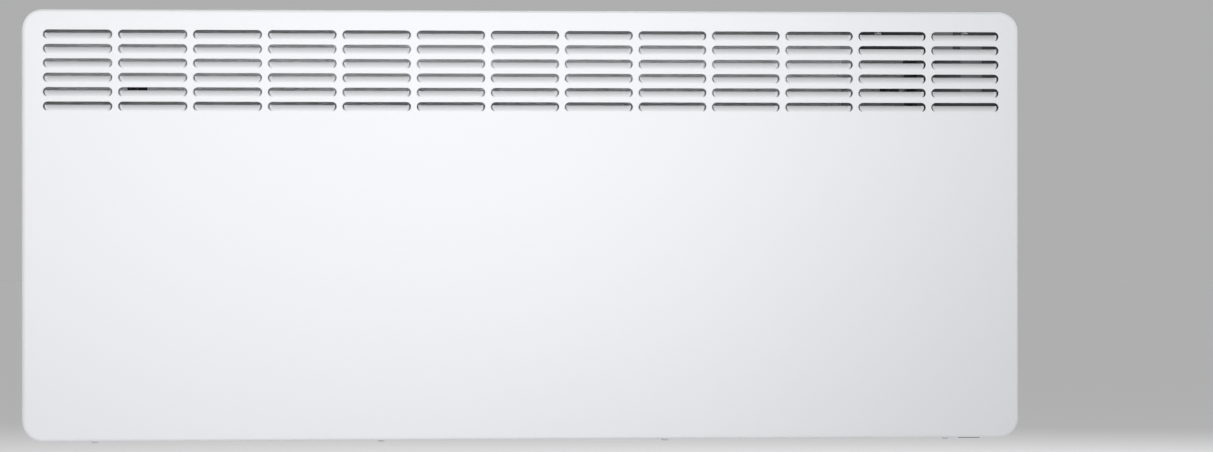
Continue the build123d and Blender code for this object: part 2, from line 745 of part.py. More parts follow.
# Push-on tabs of the switch and the thermostat.
thermo_base_z = knob_z - thermo_size / 2
with BuildPart() as spade_tabs:
    with BuildSketch(Plane.XY.offset(switch_top_z)):
        with Locations((switch_x, switch_y)):
            with GridLocations(1, 2 * switch_tab_offset, 1, 2):
                Rectangle(tab_w, tab_t)
    extrude(amount=tab_l)
    with BuildSketch(Plane.XY.offset(thermo_base_z)):
        with Locations((thermo_tab_x, knob_y)):
            with GridLocations(1, 2 * thermo_tab_offset, 1, 2):
                Rectangle(tab_w, tab_t)
    extrude(amount=-tab_l)
ship(spade_tabs, "spade_tabs")

# Wires: element to thermostat, element to block, switch to thermostat and block to switch.
# They are six-sided and keep clear of the housing and the switch.
switch_tab_z = switch_top_z + tab_l
thermo_tab_z = thermo_base_z - tab_l
pin_x = element_x1 + seal_l + pin_l
block_top_z = block_z + block_h / 2
block_mid_y = inside_y - block_depth / 2
wire_paths = (
    (
        (pin_x, element_y - pin_offset, element_z),
        (wire_rise_x, element_y - pin_offset, element_z),
        (wire_rise_x, knob_y - thermo_tab_offset, wire_low_z),
        (thermo_tab_x, knob_y - thermo_tab_offset, wire_high_z),
        (thermo_tab_x, knob_y - thermo_tab_offset, thermo_tab_z),
    ),
    (
        (pin_x, element_y + pin_offset, element_z),
        (wire_dip_x, element_y + pin_offset, element_z),
        (wire_drop_x, block_mid_y, element_z),
        (wire_drop_x, block_mid_y, block_top_z),
    ),
    (
        (switch_x, switch_y - switch_tab_offset, switch_tab_z),
        (switch_x, switch_y - switch_tab_offset, wire_low_z),
        (thermo_tab_x, knob_y + thermo_tab_offset, wire_high_z),
        (thermo_tab_x, knob_y + thermo_tab_offset, thermo_tab_z),
    ),
    (
        (block_x, block_mid_y, block_top_z),
        (block_x, block_mid_y, wire_cross_z),
        (wire_cross_x, switch_y + switch_tab_offset, wire_cross_z),
        (switch_x, switch_y + switch_tab_offset, wire_dip_z),
        (switch_x, switch_y + switch_tab_offset, switch_tab_z),
    ),
)
with BuildPart() as internal_wires:
    for path in wire_paths:
        with BuildLine() as run:
            Polyline(*path)
        with BuildSketch(Plane(origin=run.line @ 0, z_dir=run.line % 0)):
            RegularPolygon(wire_r, 6)
        sweep(path=run.line, transition=Transition.RIGHT)
ship(internal_wires, "internal_wires")
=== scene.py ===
"""Wall panel convector heater: the dressed model and the studio it is photographed in.

The heater's sizes are in millimetres, and the studio's and the finishes' in metres. Both are in
the heater's own frame: the origin is on the wall plane, at the centre of the four wall screws,
+X to the viewer's right, +Y into the wall and +Z up.
"""

import math

import bmesh
import bpy
from mathutils import Matrix, Vector


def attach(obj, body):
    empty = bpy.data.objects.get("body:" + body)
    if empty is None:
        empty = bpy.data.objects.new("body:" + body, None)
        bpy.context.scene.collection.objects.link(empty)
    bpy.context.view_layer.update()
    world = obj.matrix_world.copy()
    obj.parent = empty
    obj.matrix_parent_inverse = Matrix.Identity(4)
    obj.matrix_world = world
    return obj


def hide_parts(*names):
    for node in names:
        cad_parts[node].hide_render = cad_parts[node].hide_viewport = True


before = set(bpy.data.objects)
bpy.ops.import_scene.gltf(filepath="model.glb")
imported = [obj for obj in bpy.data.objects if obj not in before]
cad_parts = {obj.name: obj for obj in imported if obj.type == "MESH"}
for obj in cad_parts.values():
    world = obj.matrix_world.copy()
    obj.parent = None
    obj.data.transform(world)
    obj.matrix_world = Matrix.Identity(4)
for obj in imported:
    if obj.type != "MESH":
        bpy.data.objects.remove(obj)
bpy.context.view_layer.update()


# ------------------------------------------------------------------ viewpoint
# A long lens stands six metres off, level with the heater and a little left of its middle,
# turned six degrees to the right, so that the far end of the casing looks slightly smaller.
VIEW_AT = (-0.5892, -6.1699, 0.0104)
yaw = math.radians(6.371)
pitch = math.radians(-0.107)
roll = math.radians(-0.03)
ahead = Vector((math.sin(yaw) * math.cos(pitch), math.cos(yaw) * math.cos(pitch), math.sin(pitch)))
level = Vector((math.cos(yaw), -math.sin(yaw), 0))
lift = level.cross(ahead)
across = math.cos(roll) * level + math.sin(roll) * lift
upward = math.cos(roll) * lift - math.sin(roll) * level
turned = Matrix((across, upward, -ahead)).transposed().to_4x4()

view_data = bpy.data.cameras.new("view")
view_data.sensor_width = 36
view_data.lens = 171.69
view = bpy.data.objects.new("view", view_data)
view.matrix_world = Matrix.Translation(VIEW_AT) @ turned
bpy.context.collection.objects.link(view)
bpy.context.scene.camera = view
bpy.context.scene.view_settings.view_transform = "Standard"


# ------------------------------------------------------------------ studio
# A wide pale matt floor lies a hand's length under the heater, as in a room. One softbox
# lights the front from the left of its middle, broad ones the back and both sides, and the
# room the rest.
class Coat:
    """A value on its way through a finish: one node socket, written like a number."""

    # where a Mix node for colours takes its share and both colours, and gives the result
    SHARE, FIRST, SECOND, RESULT = 0, 6, 7, 2

    def __init__(self, tree, socket=None):
        self.tree = tree
        self.socket = socket

    def lay(self, kind, settings=None, inputs=None, out=0):
        """Lays any node: its settings first, then the values or links of its sockets."""
        node = self.tree.nodes.new(kind)
        for name, value in (settings or {}).items():
            if name == "stops":
                ramp = node.color_ramp.elements
                while len(ramp) < len(value):
                    ramp.new(0.5)
                for stop, (at, colour) in zip(ramp, value):
                    stop.position = at
                    stop.color = colour
            else:
                setattr(node, name, value)
        for name, value in (inputs or {}).items():
            if isinstance(value, Coat):
                self.tree.links.new(value.socket, node.inputs[name])
            else:
                node.inputs[name].default_value = value
        return Coat(self.tree, node.outputs[out] if len(node.outputs) else None)

    def math(self, operation, first, second):
        return self.lay("ShaderNodeMath", {"operation": operation}, {0: first, 1: second})

    def __add__(self, other):
        return self.math("ADD", self, other)

    __radd__ = __add__

    def __mul__(self, other):
        return self.math("MULTIPLY", self, other)

    __rmul__ = __mul__

    def blend(self, low, high):
        """From one colour to the other as this value goes from 0 to 1."""
        inputs = {self.SHARE: self, self.FIRST: (*low, 1), self.SECOND: (*high, 1)}
        return self.lay("ShaderNodeMix", {"data_type": "RGBA"}, inputs, self.RESULT)


def start_finish(name):
    """A bare material, and the coat that its nodes are laid with."""
    material = bpy.data.materials.new(name)
    material.use_nodes = True
    material.node_tree.nodes.clear()
    return material, Coat(material.node_tree)


def place(coat, scale=1.0):
    """Where a point of the surface is, in metres times the scale."""
    where = coat.lay("ShaderNodeTexCoord", out="Object")
    return coat.lay("ShaderNodeVectorMath", {"operation": "SCALE"}, {0: where, "Scale": scale})


def cloud(coat, where, detail):
    """Soft noise from 0 to 1, one patch to each unit of the place it is given."""
    inputs = {"Vector": where, "Scale": 1.0, "Detail": detail, "Roughness": 0.5}
    return coat.lay("ShaderNodeTexNoise", {"noise_dimensions": "3D"}, inputs)


def seal(coat, bump, depth, colour, roughness, metallic=0.0, extra=None):
    """Ends a finish: a relief of a depth in metres, a colour and a sheen, and what else it has."""
    inputs = {"Base Color": colour, "Roughness": roughness, "Metallic": metallic, **(extra or {})}
    if depth:
        relief = {"Height": bump, "Strength": 1.0, "Distance": depth}
        inputs["Normal"] = coat.lay("ShaderNodeBump", None, relief)
    shader = coat.lay("ShaderNodeBsdfPrincipled", None, inputs)
    coat.lay("ShaderNodeOutputMaterial", None, {"Surface": shader})


def seen(coat):
    """1 for what the lens sees, straight or mirrored, and 0 for what only lights the room."""
    names = ("Is Camera Ray", "Is Glossy Ray", "Is Transmission Ray")
    straight, mirrored, through = [coat.lay("ShaderNodeLightPath", out=name) for name in names]
    return coat.math("MAXIMUM", coat.math("MAXIMUM", straight, mirrored), through)


floor_paint, coat = start_finish("matt_floor")
speck = cloud(coat, place(coat, 40), 4)
paleness = seen(coat).blend((0, 0, 0), (0.095, 0.095, 0.095))
seal(
    coat, speck, 0.0002, speck.blend((0.70, 0.70, 0.71), (0.74, 0.74, 0.75)), 0.85,
    extra={"Emission Color": paleness, "Emission Strength": 1.0},
)
FLOOR_REACH = 30
FLOOR_Z = -0.40
square = ((-1, -1), (1, -1), (1, 1), (-1, 1))
floor_corners = [(a * FLOOR_REACH, b * FLOOR_REACH, FLOOR_Z) for a, b in square]
floor_mesh = bpy.data.meshes.new("floor")
floor_mesh.from_pydata(floor_corners, [], [(0, 1, 2, 3)])
floor_mesh.materials.append(floor_paint)
floor = bpy.data.objects.new("floor", floor_mesh)
bpy.context.collection.objects.link(floor)


def softbox(name, at, towards, width, watts):
    """A square diffuser of a given width in metres, which the camera doesn't see."""
    lamp = bpy.data.lights.new(name, "AREA")
    lamp.shape = "SQUARE"
    lamp.size = width
    lamp.energy = watts
    box = bpy.data.objects.new(name, lamp)
    box.location = at
    box.rotation_euler = (Vector(towards) - Vector(at)).to_track_quat("-Z", "Y").to_euler()
    box.visible_camera = False
    bpy.context.collection.objects.link(box)


softbox("front_box", at=(-0.09, -1.313, 0.225), towards=(-0.46, -0.123, 1.28), width=1.2, watts=11.35)
softbox("back_box", at=(0.9, 3.3, 2.2), towards=(0.0, 0.0, 0.0), width=2.4, watts=60.0)
softbox("left_box", at=(-3.4, 0.5, 1.5), towards=(-0.5, -0.07, 0.0), width=2.0, watts=28.0)
softbox("right_box", at=(3.4, 0.5, 1.5), towards=(0.5, -0.07, 0.0), width=2.0, watts=26.0)

ROOM_LIGHT = {"Color": (1, 1, 1, 1), "Strength": 0.45}
ROOM_SEEN = {"Color": (0.425, 0.425, 0.429, 1), "Strength": 1.0}
room = bpy.data.worlds.new("room")
room.use_nodes = True
room.node_tree.nodes.clear()
coat = Coat(room.node_tree)
glow = coat.lay("ShaderNodeBackground", None, ROOM_LIGHT)
backdrop = coat.lay("ShaderNodeBackground", None, ROOM_SEEN)
mixed = coat.lay("ShaderNodeMixShader", None, {0: seen(coat), 1: glow, 2: backdrop})
coat.lay("ShaderNodeOutputWorld", None, {"Surface": mixed})
bpy.context.scene.world = room


# ------------------------------------------------------------------ louvred front casing
# One pressing of 1 mm steel, its corners and side walls drawn with the front. 78 louvres are
# cut along their top edge and both ends and pushed inwards. Satin white powder coat covers
# the outside, and a thin grey back coat the inside.
white_coat, coat = start_finish("white_powder_coat")
peel = cloud(coat, place(coat, 900), 2)
drift = cloud(coat, place(coat, 3), 2)
white = drift.blend((0.886, 0.894, 0.914), (0.901, 0.909, 0.927))
seal(coat, peel, 0.00002, white, 0.40 + peel * 0.08)


def even_finish(name, grain, detail, depth, dark, light, rough, uneven, metallic=0.0):
    """A finish whose colour, sheen and relief follow one grain, of so many patches to a metre.

    The roughness starts at the rough value and rises by the uneven one."""
    material, coat = start_finish(name)
    patches = cloud(coat, place(coat, grain), detail)
    seal(coat, patches, depth, patches.blend(dark, light), rough + patches * uneven, metallic)
    return material


back_coat = even_finish(
    "grey_back_coat", grain=35, detail=4, depth=0.00005,
    dark=(0.13, 0.133, 0.137), light=(0.19, 0.194, 0.198), rough=0.5, uneven=0.1,
)

CASING_W, CASING_H = 1050, 450
CORNER_R = 20
EDGE_R = 3
FRONT = -123.0
WALL_BACK = FRONT + 80.0        # how far back the side walls reach
UNDERSIDE = -CASING_H / 2
FLANGE_BACK = FRONT + 30.0      # the bottom wall is cut back to a short flange
FLANGE_HALF = 500               # half the length of that cut
SCREW_XS = (-450.0, -150.0, 150.0, 450.0)
SCREW_Y = FRONT + 20.0
NOTCH_HALF = 2.25               # the open notches for the screws in that flange
KNOB_Y, KNOB_Z = -76.0, 150.0
OPENING_HALF = 25.2             # the square opening for the knob's recess

COLUMNS, ROWS = 13, 6
PITCH_X, PITCH_Z = 78.0, 15.0
TOP_ROW = 204.1                 # the top edge of the first row's slots
TILE_TOP, TILE_LOW = 2.5, -12.5     # a louvre's share of the front, from its top edge
LOUVRE_LEN, LOUVRE_H = 72.0, 9.6
LOUVRE_GAP = 3.3                # how high the slot stands open, seen from the front
LOUVRE_REACH = 4.8              # how far the blade's top edge stands behind the front
BLADE_CURVE = 1.5               # how roundly the blade dies out at the slot's foot
END_SLIT = 2.7                  # the slit between slot and blade, at both ends of the top
SLIT_CURVE = 0.28               # how roundly it closes towards the foot
CLOSING_LEVEL = 9.3             # where it has closed
EDGE_ROLL = 0.12                # how far the shears have rolled the slot's edge in
MIDDLE_LEVEL = 4.4              # where the faces over and beneath a louvre meet
RIM = 0.4                       # a narrow flat rim around each slot, and inside the casing's edge
CUT_LEVELS = (0.0, 0.25, 0.9, 1.9, LOUVRE_GAP)
BLADE_LEVELS = (LOUVRE_GAP, 3.8, MIDDLE_LEVEL, 5.1, 5.9, 6.7, 7.5, 8.2, 8.8, 9.2, LOUVRE_H)
# across a blade's end: how far in from its edge, and what share of its depth it has there
WALL_STEPS = ((0.25, 0.2), (0.6, 0.6), (1.0, 0.85), (1.5, 0.96), (2.2, 1.0))
FREE_STEPS = ((0.0, 0.5), (0.35, 0.68), (0.8, 0.85), (1.4, 0.96), (2.4, 1.0))


def half_width(level):
    """Half the slot's width, so far below its top edge: both ends are half circles."""
    radius = LOUVRE_H / 2
    return LOUVRE_LEN / 2 - radius + math.sqrt(max(radius**2 - (radius - level) ** 2, 0.0))


def blade_depth(level):
    """How far the blade stands behind the front at a level, dying out at the slot's foot."""
    rest = (LOUVRE_H - level) / (LOUVRE_H - LOUVRE_GAP)
    return LOUVRE_REACH * rest**BLADE_CURVE


def end_gap(level):
    """The open slit between slot and blade at either end, closing towards the slot's foot."""
    rest = (CLOSING_LEVEL - level) / (CLOSING_LEVEL - LOUVRE_GAP)
    return END_SLIT * rest**SLIT_CURVE if rest > 0 else 0.0


def edge_roll(level):
    """How far the slot's edge is rolled in at a level, fading out over its lower half."""
    return EDGE_ROLL * min(max((9.0 - level) / 4, 0.0), 1.0)


def press_louvre(bm, x, z):
    """Adds a louvre; gives the points over and beneath its rim, from one end to the other."""
    radius = LOUVRE_H / 2
    end_x = LOUVRE_LEN / 2 - radius

    def edge(level, side):
        return bm.verts.new((x + side * half_width(level), FRONT + edge_roll(level), z - level))

    def lip(level, side):
        out = Vector((half_width(level) - end_x, radius - level)) * (1 + RIM / radius)
        return bm.verts.new((x + side * (end_x + out.x), FRONT, z - radius + out.y))

    levels = CUT_LEVELS + BLADE_LEVELS[1:]
    lips = {side: [lip(level, side) for level in levels] for side in (-1, 1)}
    edges = {side: [edge(level, side) for level in levels] for side in (-1, 1)}
    for side in (-1, 1):
        for k in range(len(levels) - 1):
            bm.faces.new((lips[side][k], lips[side][k + 1], edges[side][k + 1], edges[side][k]))
    bm.faces.new((lips[-1][0], edges[-1][0], edges[1][0], lips[1][0]))

    rows = []
    for level in BLADE_LEVELS:
        k = levels.index(level)
        width, depth, gap = half_width(level), blade_depth(level), end_gap(level)
        steps = [(gap + step, share) for step, share in FREE_STEPS] if gap else WALL_STEPS
        row = [edges[-1][k]]
        for step, share in steps:
            row.append(bm.verts.new((x - width + step, FRONT + depth * share, z - level)))
        for part in (-0.5, 0.0, 0.5):
            row.append(bm.verts.new((x + part * width, FRONT + depth, z - level)))
        for step, share in reversed(steps):
            row.append(bm.verts.new((x + width - step, FRONT + depth * share, z - level)))
        row.append(edges[1][k])
        rows.append(row)
    for upper, lower, level in zip(rows, rows[1:], BLADE_LEVELS):
        free = end_gap(level) > 0
        for k in range(free, len(upper) - 1 - free):
            bm.faces.new((upper[k], upper[k + 1], lower[k + 1], lower[k]))
    foot = [bm.verts.new((v.co.x, FRONT, v.co.z - RIM)) for v in rows[-1][1:-1]]
    foot = [lips[-1][-1], *foot, lips[1][-1]]
    for k in range(len(foot) - 1):
        bm.faces.new((rows[-1][k], rows[-1][k + 1], foot[k + 1], foot[k]))
    left, right = lips[-1], lips[1]
    middle = levels.index(MIDDLE_LEVEL)
    over = left[middle::-1] + right[: middle + 1]
    beneath = right[middle:] + foot[-2:0:-1] + left[: middle - 1 : -1]
    return over, beneath


def round_tile(bm, x, z, width, top, low, middle, over, beneath, y):
    """Fills a flat tile around a ring: one face above it and one beneath, meeting at its ends."""
    corner = {}
    for a in (-1, 1):
        for b in (top, low):
            corner[a, b] = bm.verts.new((x + a * width / 2, y, z + b))
    left, right = [bm.verts.new((x + a * width / 2, y, middle)) for a in (-1, 1)]
    bm.faces.new((left, corner[-1, top], corner[1, top], right, *reversed(over)))
    bm.faces.new((right, corner[1, low], corner[-1, low], left, *reversed(beneath)))


def rounded_loop(width, height, radius, inset=0, stops=((),) * 4, arc=10):
    """Points around a rounded rectangle from its top left corner clockwise, with extra stops.

    The stops are places along the top, right, bottom and left sides."""
    r = radius - inset
    cx, cz = width / 2 - radius, height / 2 - radius
    top, right, bottom, left = stops
    loop = []
    for (sx, sz), start, along in (
        ((-1, 1), 180, [(s, cz + r) for s in sorted(top)]),
        ((1, 1), 90, [(cx + r, s) for s in sorted(right, reverse=True)]),
        ((1, -1), 0, [(s, -cz - r) for s in sorted(bottom, reverse=True)]),
        ((-1, -1), -90, [(-cx - r, s) for s in sorted(left)]),
    ):
        for k in range(arc + 1):
            a = math.radians(start - 90 * k / arc)
            loop.append((sx * cx + r * math.cos(a), sz * cz + r * math.sin(a)))
        loop += along
    return loop


def ring_of(bm, loop, y):
    """A ring of points along a loop in X and Z."""
    return [bm.verts.new((x, y, z)) for x, z in loop]


def bridge(bm, first, second, skip=()):
    """A band of faces between two rings of equal length, but for the places to skip."""
    for k in range(len(first)):
        if k not in skip:
            n = (k + 1) % len(first)
            bm.faces.new((first[k], first[n], second[n], second[k]))


def skin(bm, rings):
    """Bands of faces from each ring to the next."""
    for first, second in zip(rings, rings[1:]):
        bridge(bm, first, second)


def block_sides(bm, y, half, top, low):
    """The points on the four sides of a block of tiles, in order from its top left corner."""
    flat = [v for v in bm.verts if abs(v.co.y - y) < 1e-4]
    return (
        sorted((v for v in flat if abs(v.co.z - top) < 1e-3), key=lambda v: v.co.x),
        sorted((v for v in flat if abs(v.co.x - half) < 1e-3), key=lambda v: -v.co.z),
        sorted((v for v in flat if abs(v.co.z - low) < 1e-3), key=lambda v: -v.co.x),
        sorted((v for v in flat if abs(v.co.x + half) < 1e-3), key=lambda v: v.co.z),
    )


def border(bm, block, loop, stops, arc=10):
    """Four flat faces from a block of tiles to the rounded loop around it."""
    cuts = []
    at = 0
    for side in stops:
        cuts.append(at + arc // 2)
        at += arc + 1 + len(side)
    n = len(loop)
    for k in range(4):
        first, last = cuts[k], cuts[(k + 1) % 4]
        run = [loop[i % n] for i in range(first, last + 1 if last > first else last + n + 1)]
        bm.faces.new((*block[k], *reversed(run)))


def fold_edge(bm, block, loop_at, stops, face, radius, angles):
    """Fills in the flat around a block and folds its edge to a right angle; gives the last ring.

    The radius is negative where the edge folds forwards."""
    size = abs(radius)
    last = ring_of(bm, loop_at(size + RIM), face)
    border(bm, block, last, stops)
    for angle in angles:
        a = math.radians(angle)
        ring = ring_of(bm, loop_at(size * (1 - math.sin(a))), face + radius * (1 - math.cos(a)))
        bridge(bm, last, ring)
        last = ring
    return last


def side_faces(outline, test):
    """The places in a loop whose face, to the next point, meets a test of its middle."""
    found = set()
    for k, (x, z) in enumerate(outline):
        nx, nz = outline[(k + 1) % len(outline)]
        if test((x + nx) / 2, (z + nz) / 2):
            found.add(k)
    return found


def drop_loose(bm):
    """Takes away the points that no face uses."""
    loose = [v for v in bm.verts if not v.link_faces]
    bmesh.ops.delete(bm, geom=loose, context="VERTS")


def to_object(name, bm):
    """An object in metres from mesh code in millimetres, with no double points."""
    bmesh.ops.remove_doubles(bm, verts=bm.verts, dist=0.001)
    bmesh.ops.recalc_face_normals(bm, faces=bm.faces)
    bmesh.ops.scale(bm, vec=(0.001,) * 3, verts=bm.verts)
    mesh = bpy.data.meshes.new(name)
    bm.to_mesh(mesh)
    bm.free()
    made = bpy.data.objects.new(name, mesh)
    bpy.context.collection.objects.link(made)
    return made


def settle(piece, sharp):
    """Bakes the modifiers in and shades the piece smooth up to a sharp angle."""
    solid = piece.evaluated_get(bpy.context.evaluated_depsgraph_get())
    mesh = bpy.data.meshes.new_from_object(solid)
    piece.modifiers.clear()
    piece.data = mesh
    mesh.shade_smooth()
    mesh.set_sharp_from_angle(angle=math.radians(sharp))
    normals = piece.modifiers.new("normals", "WEIGHTED_NORMAL")
    normals.keep_sharp = True


def finish_piece(name, bm, coats, body, replaces=(), sharp=40, wall=None, bevel=None):
    """Turns mesh code into a piece that rides on a body, with its coats outside and inside.

    The wall is a sheet's thickness and the bevel an edge's, both in millimetres."""
    piece = to_object(name, bm)
    for one in coats:
        piece.data.materials.append(one)
    if wall:
        sheet = piece.modifiers.new("sheet", "SOLIDIFY")
        sheet.thickness = wall / 1000
        sheet.offset = -1
        sheet.material_offset = 1
    if bevel:
        edges = piece.modifiers.new("edges", "BEVEL")
        edges.width = bevel / 1000
        edges.segments = 2
        edges.limit_method = "ANGLE"
        edges.angle_limit = math.radians(50)
    settle(piece, sharp)
    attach(piece, body)
    if replaces:
        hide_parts(*replaces)
    return piece


bm = bmesh.new()
for row in range(ROWS):
    for column in range(COLUMNS):
        x = PITCH_X * (column - (COLUMNS - 1) / 2)
        z = TOP_ROW - PITCH_Z * row
        over, beneath = press_louvre(bm, x, z)
        round_tile(bm, x, z, PITCH_X, TILE_TOP, TILE_LOW, z - MIDDLE_LEVEL, over, beneath, FRONT)
bmesh.ops.remove_doubles(bm, verts=bm.verts, dist=0.001)
block_low = TOP_ROW - PITCH_Z * (ROWS - 1) + TILE_LOW
block = block_sides(bm, FRONT, PITCH_X * COLUMNS / 2, TOP_ROW + TILE_TOP, block_low)

notches = [(x - NOTCH_HALF, x + NOTCH_HALF) for x in SCREW_XS]
notch_edges = [x for notch in notches for x in notch]
casing_stops = (
    [],
    [KNOB_Z + OPENING_HALF, KNOB_Z - OPENING_HALF],
    [-FLANGE_HALF, FLANGE_HALF, *notch_edges],
    [],
)


def casing_loop(inset):
    return rounded_loop(CASING_W, CASING_H, CORNER_R, inset, casing_stops)


last = fold_edge(bm, block, casing_loop, casing_stops, FRONT, EDGE_R, (0, 12, 27, 45, 63, 78, 90))
outline = casing_loop(0)
under_cut = side_faces(outline, lambda x, z: z < UNDERSIDE + 0.1 and abs(x) < FLANGE_HALF)
under_notch = side_faces(
    outline, lambda x, z: z < UNDERSIDE + 0.1 and any(a < x < b for a, b in notches)
)
knob_opening = side_faces(
    outline, lambda x, z: x > CASING_W / 2 - 0.1 and abs(z - KNOB_Z) < OPENING_HALF
)
notch_front = SCREW_Y - NOTCH_HALF
opening_front = KNOB_Y - OPENING_HALF
opening_back = KNOB_Y + OPENING_HALF
steps = (FRONT + EDGE_R, notch_front, opening_front, FLANGE_BACK, opening_back, WALL_BACK)
for near, far in zip(steps, steps[1:]):
    ring = ring_of(bm, outline, far)
    skip = set()
    if near >= notch_front:
        skip |= under_notch
    if near >= FLANGE_BACK:
        skip |= under_cut
    if opening_front <= near < opening_back:
        skip |= knob_opening
    bridge(bm, last, ring, skip)
    last = ring
drop_loose(bm)
finish_piece(
    "louvred_casing", bm, [white_coat, back_coat], "heater", ["front_casing"], wall=1
)


# ------------------------------------------------------------------ rear panel
# A folded tray of galvanised steel inside the casing's edge, with three stiffening beads, and a
# bottom flange that runs forward with the air inlets. Handling has dulled the outside. The bright
# inside has painted light and painted shade: a lighter band a little below its top, and darker along
# the top, under the top flange.
def galvanised(name, dull, bright, metallic, painted_light_and_shade=()):
    """Zinc on rolled steel: crystals a few millimetres across, and the smear of the bath.

    The painted light and shade is a list of (height in metres, grey) stops that multiply the zinc's
    colour: lighter where light falls, darker where shade falls."""
    sheet, coat = start_finish(name)
    pattern = {"Vector": place(coat, 140), "Scale": 1.0}
    crystals = coat.lay("ShaderNodeTexVoronoi", {"feature": "F1"}, pattern, out="Color")
    flake = coat.lay("ShaderNodeSeparateColor", None, {"Color": crystals})
    grain = cloud(coat, place(coat, 700), 2)
    smear = cloud(coat, place(coat, 14), 3)
    colour = (flake * 0.4 + smear * 0.6).blend(dull, bright)
    # painted light and painted shade: the zinc's colour is multiplied by a grey that follows the
    # height
    if painted_light_and_shade:
        low, high = painted_light_and_shade[0][0], painted_light_and_shade[-1][0]
        height = coat.lay("ShaderNodeSeparateXYZ", None, {"Vector": place(coat)}, out="Z")
        limits = {"Value": height, "From Min": low, "From Max": high}
        share = coat.lay("ShaderNodeMapRange", None, limits)
        stops = [((z - low) / (high - low), (grey, grey, grey, 1)) for z, grey in painted_light_and_shade]
        tone = coat.lay("ShaderNodeValToRGB", {"stops": stops}, {"Fac": share})
        toned = {"data_type": "RGBA", "blend_type": "MULTIPLY"}
        inputs = {coat.SHARE: 1.0, coat.FIRST: colour, coat.SECOND: tone}
        colour = coat.lay("ShaderNodeMix", toned, inputs, coat.RESULT)
    seal(coat, grain, 0.00003, colour, 0.34 + flake * 0.16 + smear * 0.1, metallic)
    return sheet


zinc_sheet = galvanised("dull_zinc_sheet", (0.52, 0.53, 0.55), (0.70, 0.71, 0.725), 0.65)
# the inside's painted light and shade by height: a lighter band from 175 to 193 mm, a little darker
# below it, and painted shade above it, under the top flange
bright_zinc = galvanised(
    "bright_zinc_sheet", (0.84, 0.85, 0.87), (0.97, 0.975, 0.985), 0.45,
    painted_light_and_shade=((0.10, 0.87), (0.14, 0.88), (0.175, 0.98), (0.193, 1.0), (0.206, 0.62)),
)

TRAY_W, TRAY_H = 1048, 448
TRAY_CORNER_R = 19
TRAY_EDGE_R = 2
BACK = -25.0
FLANGE_FRONT = -50.0            # how far forward the top and side flanges reach
TONGUE_FRONT = -113.0           # and the tongue, which is the long bottom flange
TONGUE_HALF = 500               # half its length
TONGUE_Z = 0.5 - TRAY_H / 2     # the middle of its thickness
INLETS = 14
INLET_PITCH = 58
INLET_MID_X = -78
INLET_YS = (-78.0, -50.0)
INLET_SIZE, SCREW_HOLE, SWITCH_HOLE = (46, 12), (4.4, 4.4), (21, 28)
GLAND_HOLE, HOOK_HOLE = (13.2, 13.2), (21, 16)
HOOK_HOLE_Z = 145
SWITCH_X, SWITCH_Y = 478.5, -75
GLAND_X, GLAND_Y = 430, -48
HOOK_XS = (-403, 403)
BEAD_PITCH = 92.0
BEAD_ZS = (62.0, 62.0 - BEAD_PITCH, 62.0 - 2 * BEAD_PITCH)
BEAD_LEN, BEAD_H, BEAD_DEPTH = 940.0, 18.0, 1.4
# a bead's flank: how far in from its outline, and how deep
BEAD_FLANK = ((0, 0), (0.5, 0.1), (1.9, 0.9), (2.9, 1.28), (3.8, BEAD_DEPTH))

bm = bmesh.new()
bead_ends = [math.radians(a) for a in range(90, -91, -15)]
count = len(bead_ends)
half = count // 2
for z in BEAD_ZS:
    rings = []
    for inset, deep in BEAD_FLANK:
        r = BEAD_H / 2 - inset
        right = [(BEAD_LEN / 2 - BEAD_H / 2 + r * math.cos(a), r * math.sin(a)) for a in bead_ends]
        left = [(-x, h) for x, h in right]
        rings.append([bm.verts.new((x, BACK + deep, z + h)) for x, h in (*right, *reversed(left))])
    skin(bm, rings)
    bm.faces.new(rings[-1])
    over = rings[0][count + half :] + rings[0][: half + 1]
    beneath = rings[0][half : count + half + 1]
    round_tile(
        bm, 0, z, 2 * TONGUE_HALF, BEAD_PITCH / 2, -BEAD_PITCH / 2, z, over, beneath, BACK
    )
bmesh.ops.remove_doubles(bm, verts=bm.verts, dist=0.001)
block_top, block_low = BEAD_ZS[0] + BEAD_PITCH / 2, BEAD_ZS[-1] - BEAD_PITCH / 2
block = block_sides(bm, BACK, TONGUE_HALF, block_top, block_low)
tray_stops = ([], [], [-TONGUE_HALF, TONGUE_HALF], [])


def tray_loop(inset):
    return rounded_loop(TRAY_W, TRAY_H, TRAY_CORNER_R, inset, tray_stops)


last = fold_edge(bm, block, tray_loop, tray_stops, BACK, -TRAY_EDGE_R, (0, 18, 45, 72, 90))
outline = tray_loop(0)
tongue = side_faces(outline, lambda x, z: z < 0.1 - TRAY_H / 2 and abs(x) < TONGUE_HALF)
for far, skip in ((FLANGE_FRONT, ()), (TONGUE_FRONT, set(range(len(outline))) - tongue)):
    ring = ring_of(bm, outline, far)
    bridge(bm, last, ring, skip)
    last = ring
drop_loose(bm)
tray = finish_piece(
    "rear_tray", bm, [zinc_sheet, bright_zinc], "heater", ["rear_panel"], wall=1
)


def stack(bm, layers, spot):
    """A ring of points for each layer of (loop, level); spot says where (a, b, level) lies."""
    return [[bm.verts.new(spot(a, b, level)) for a, b in loop] for loop, level in layers]


def prism(bm, rings):
    """A closed solid through rings of equal length, from the first to the last."""
    skin(bm, rings)
    bm.faces.new(rings[0])
    bm.faces.new(rings[-1])


def strip(bm, loop, levels, spot):
    """A solid with one outline from level to level."""
    prism(bm, stack(bm, [(loop, level) for level in levels], spot))


def carve(piece, tool, sharp=40):
    """Cuts mesh code out of a piece."""
    cutter = to_object("cutter", tool)
    cut = piece.modifiers.new("cut", "BOOLEAN")
    cut.object = cutter
    cut.operation = "DIFFERENCE"
    cut.solver = "EXACT"
    cut.use_self = True
    settle(piece, sharp)
    bpy.data.objects.remove(cutter)


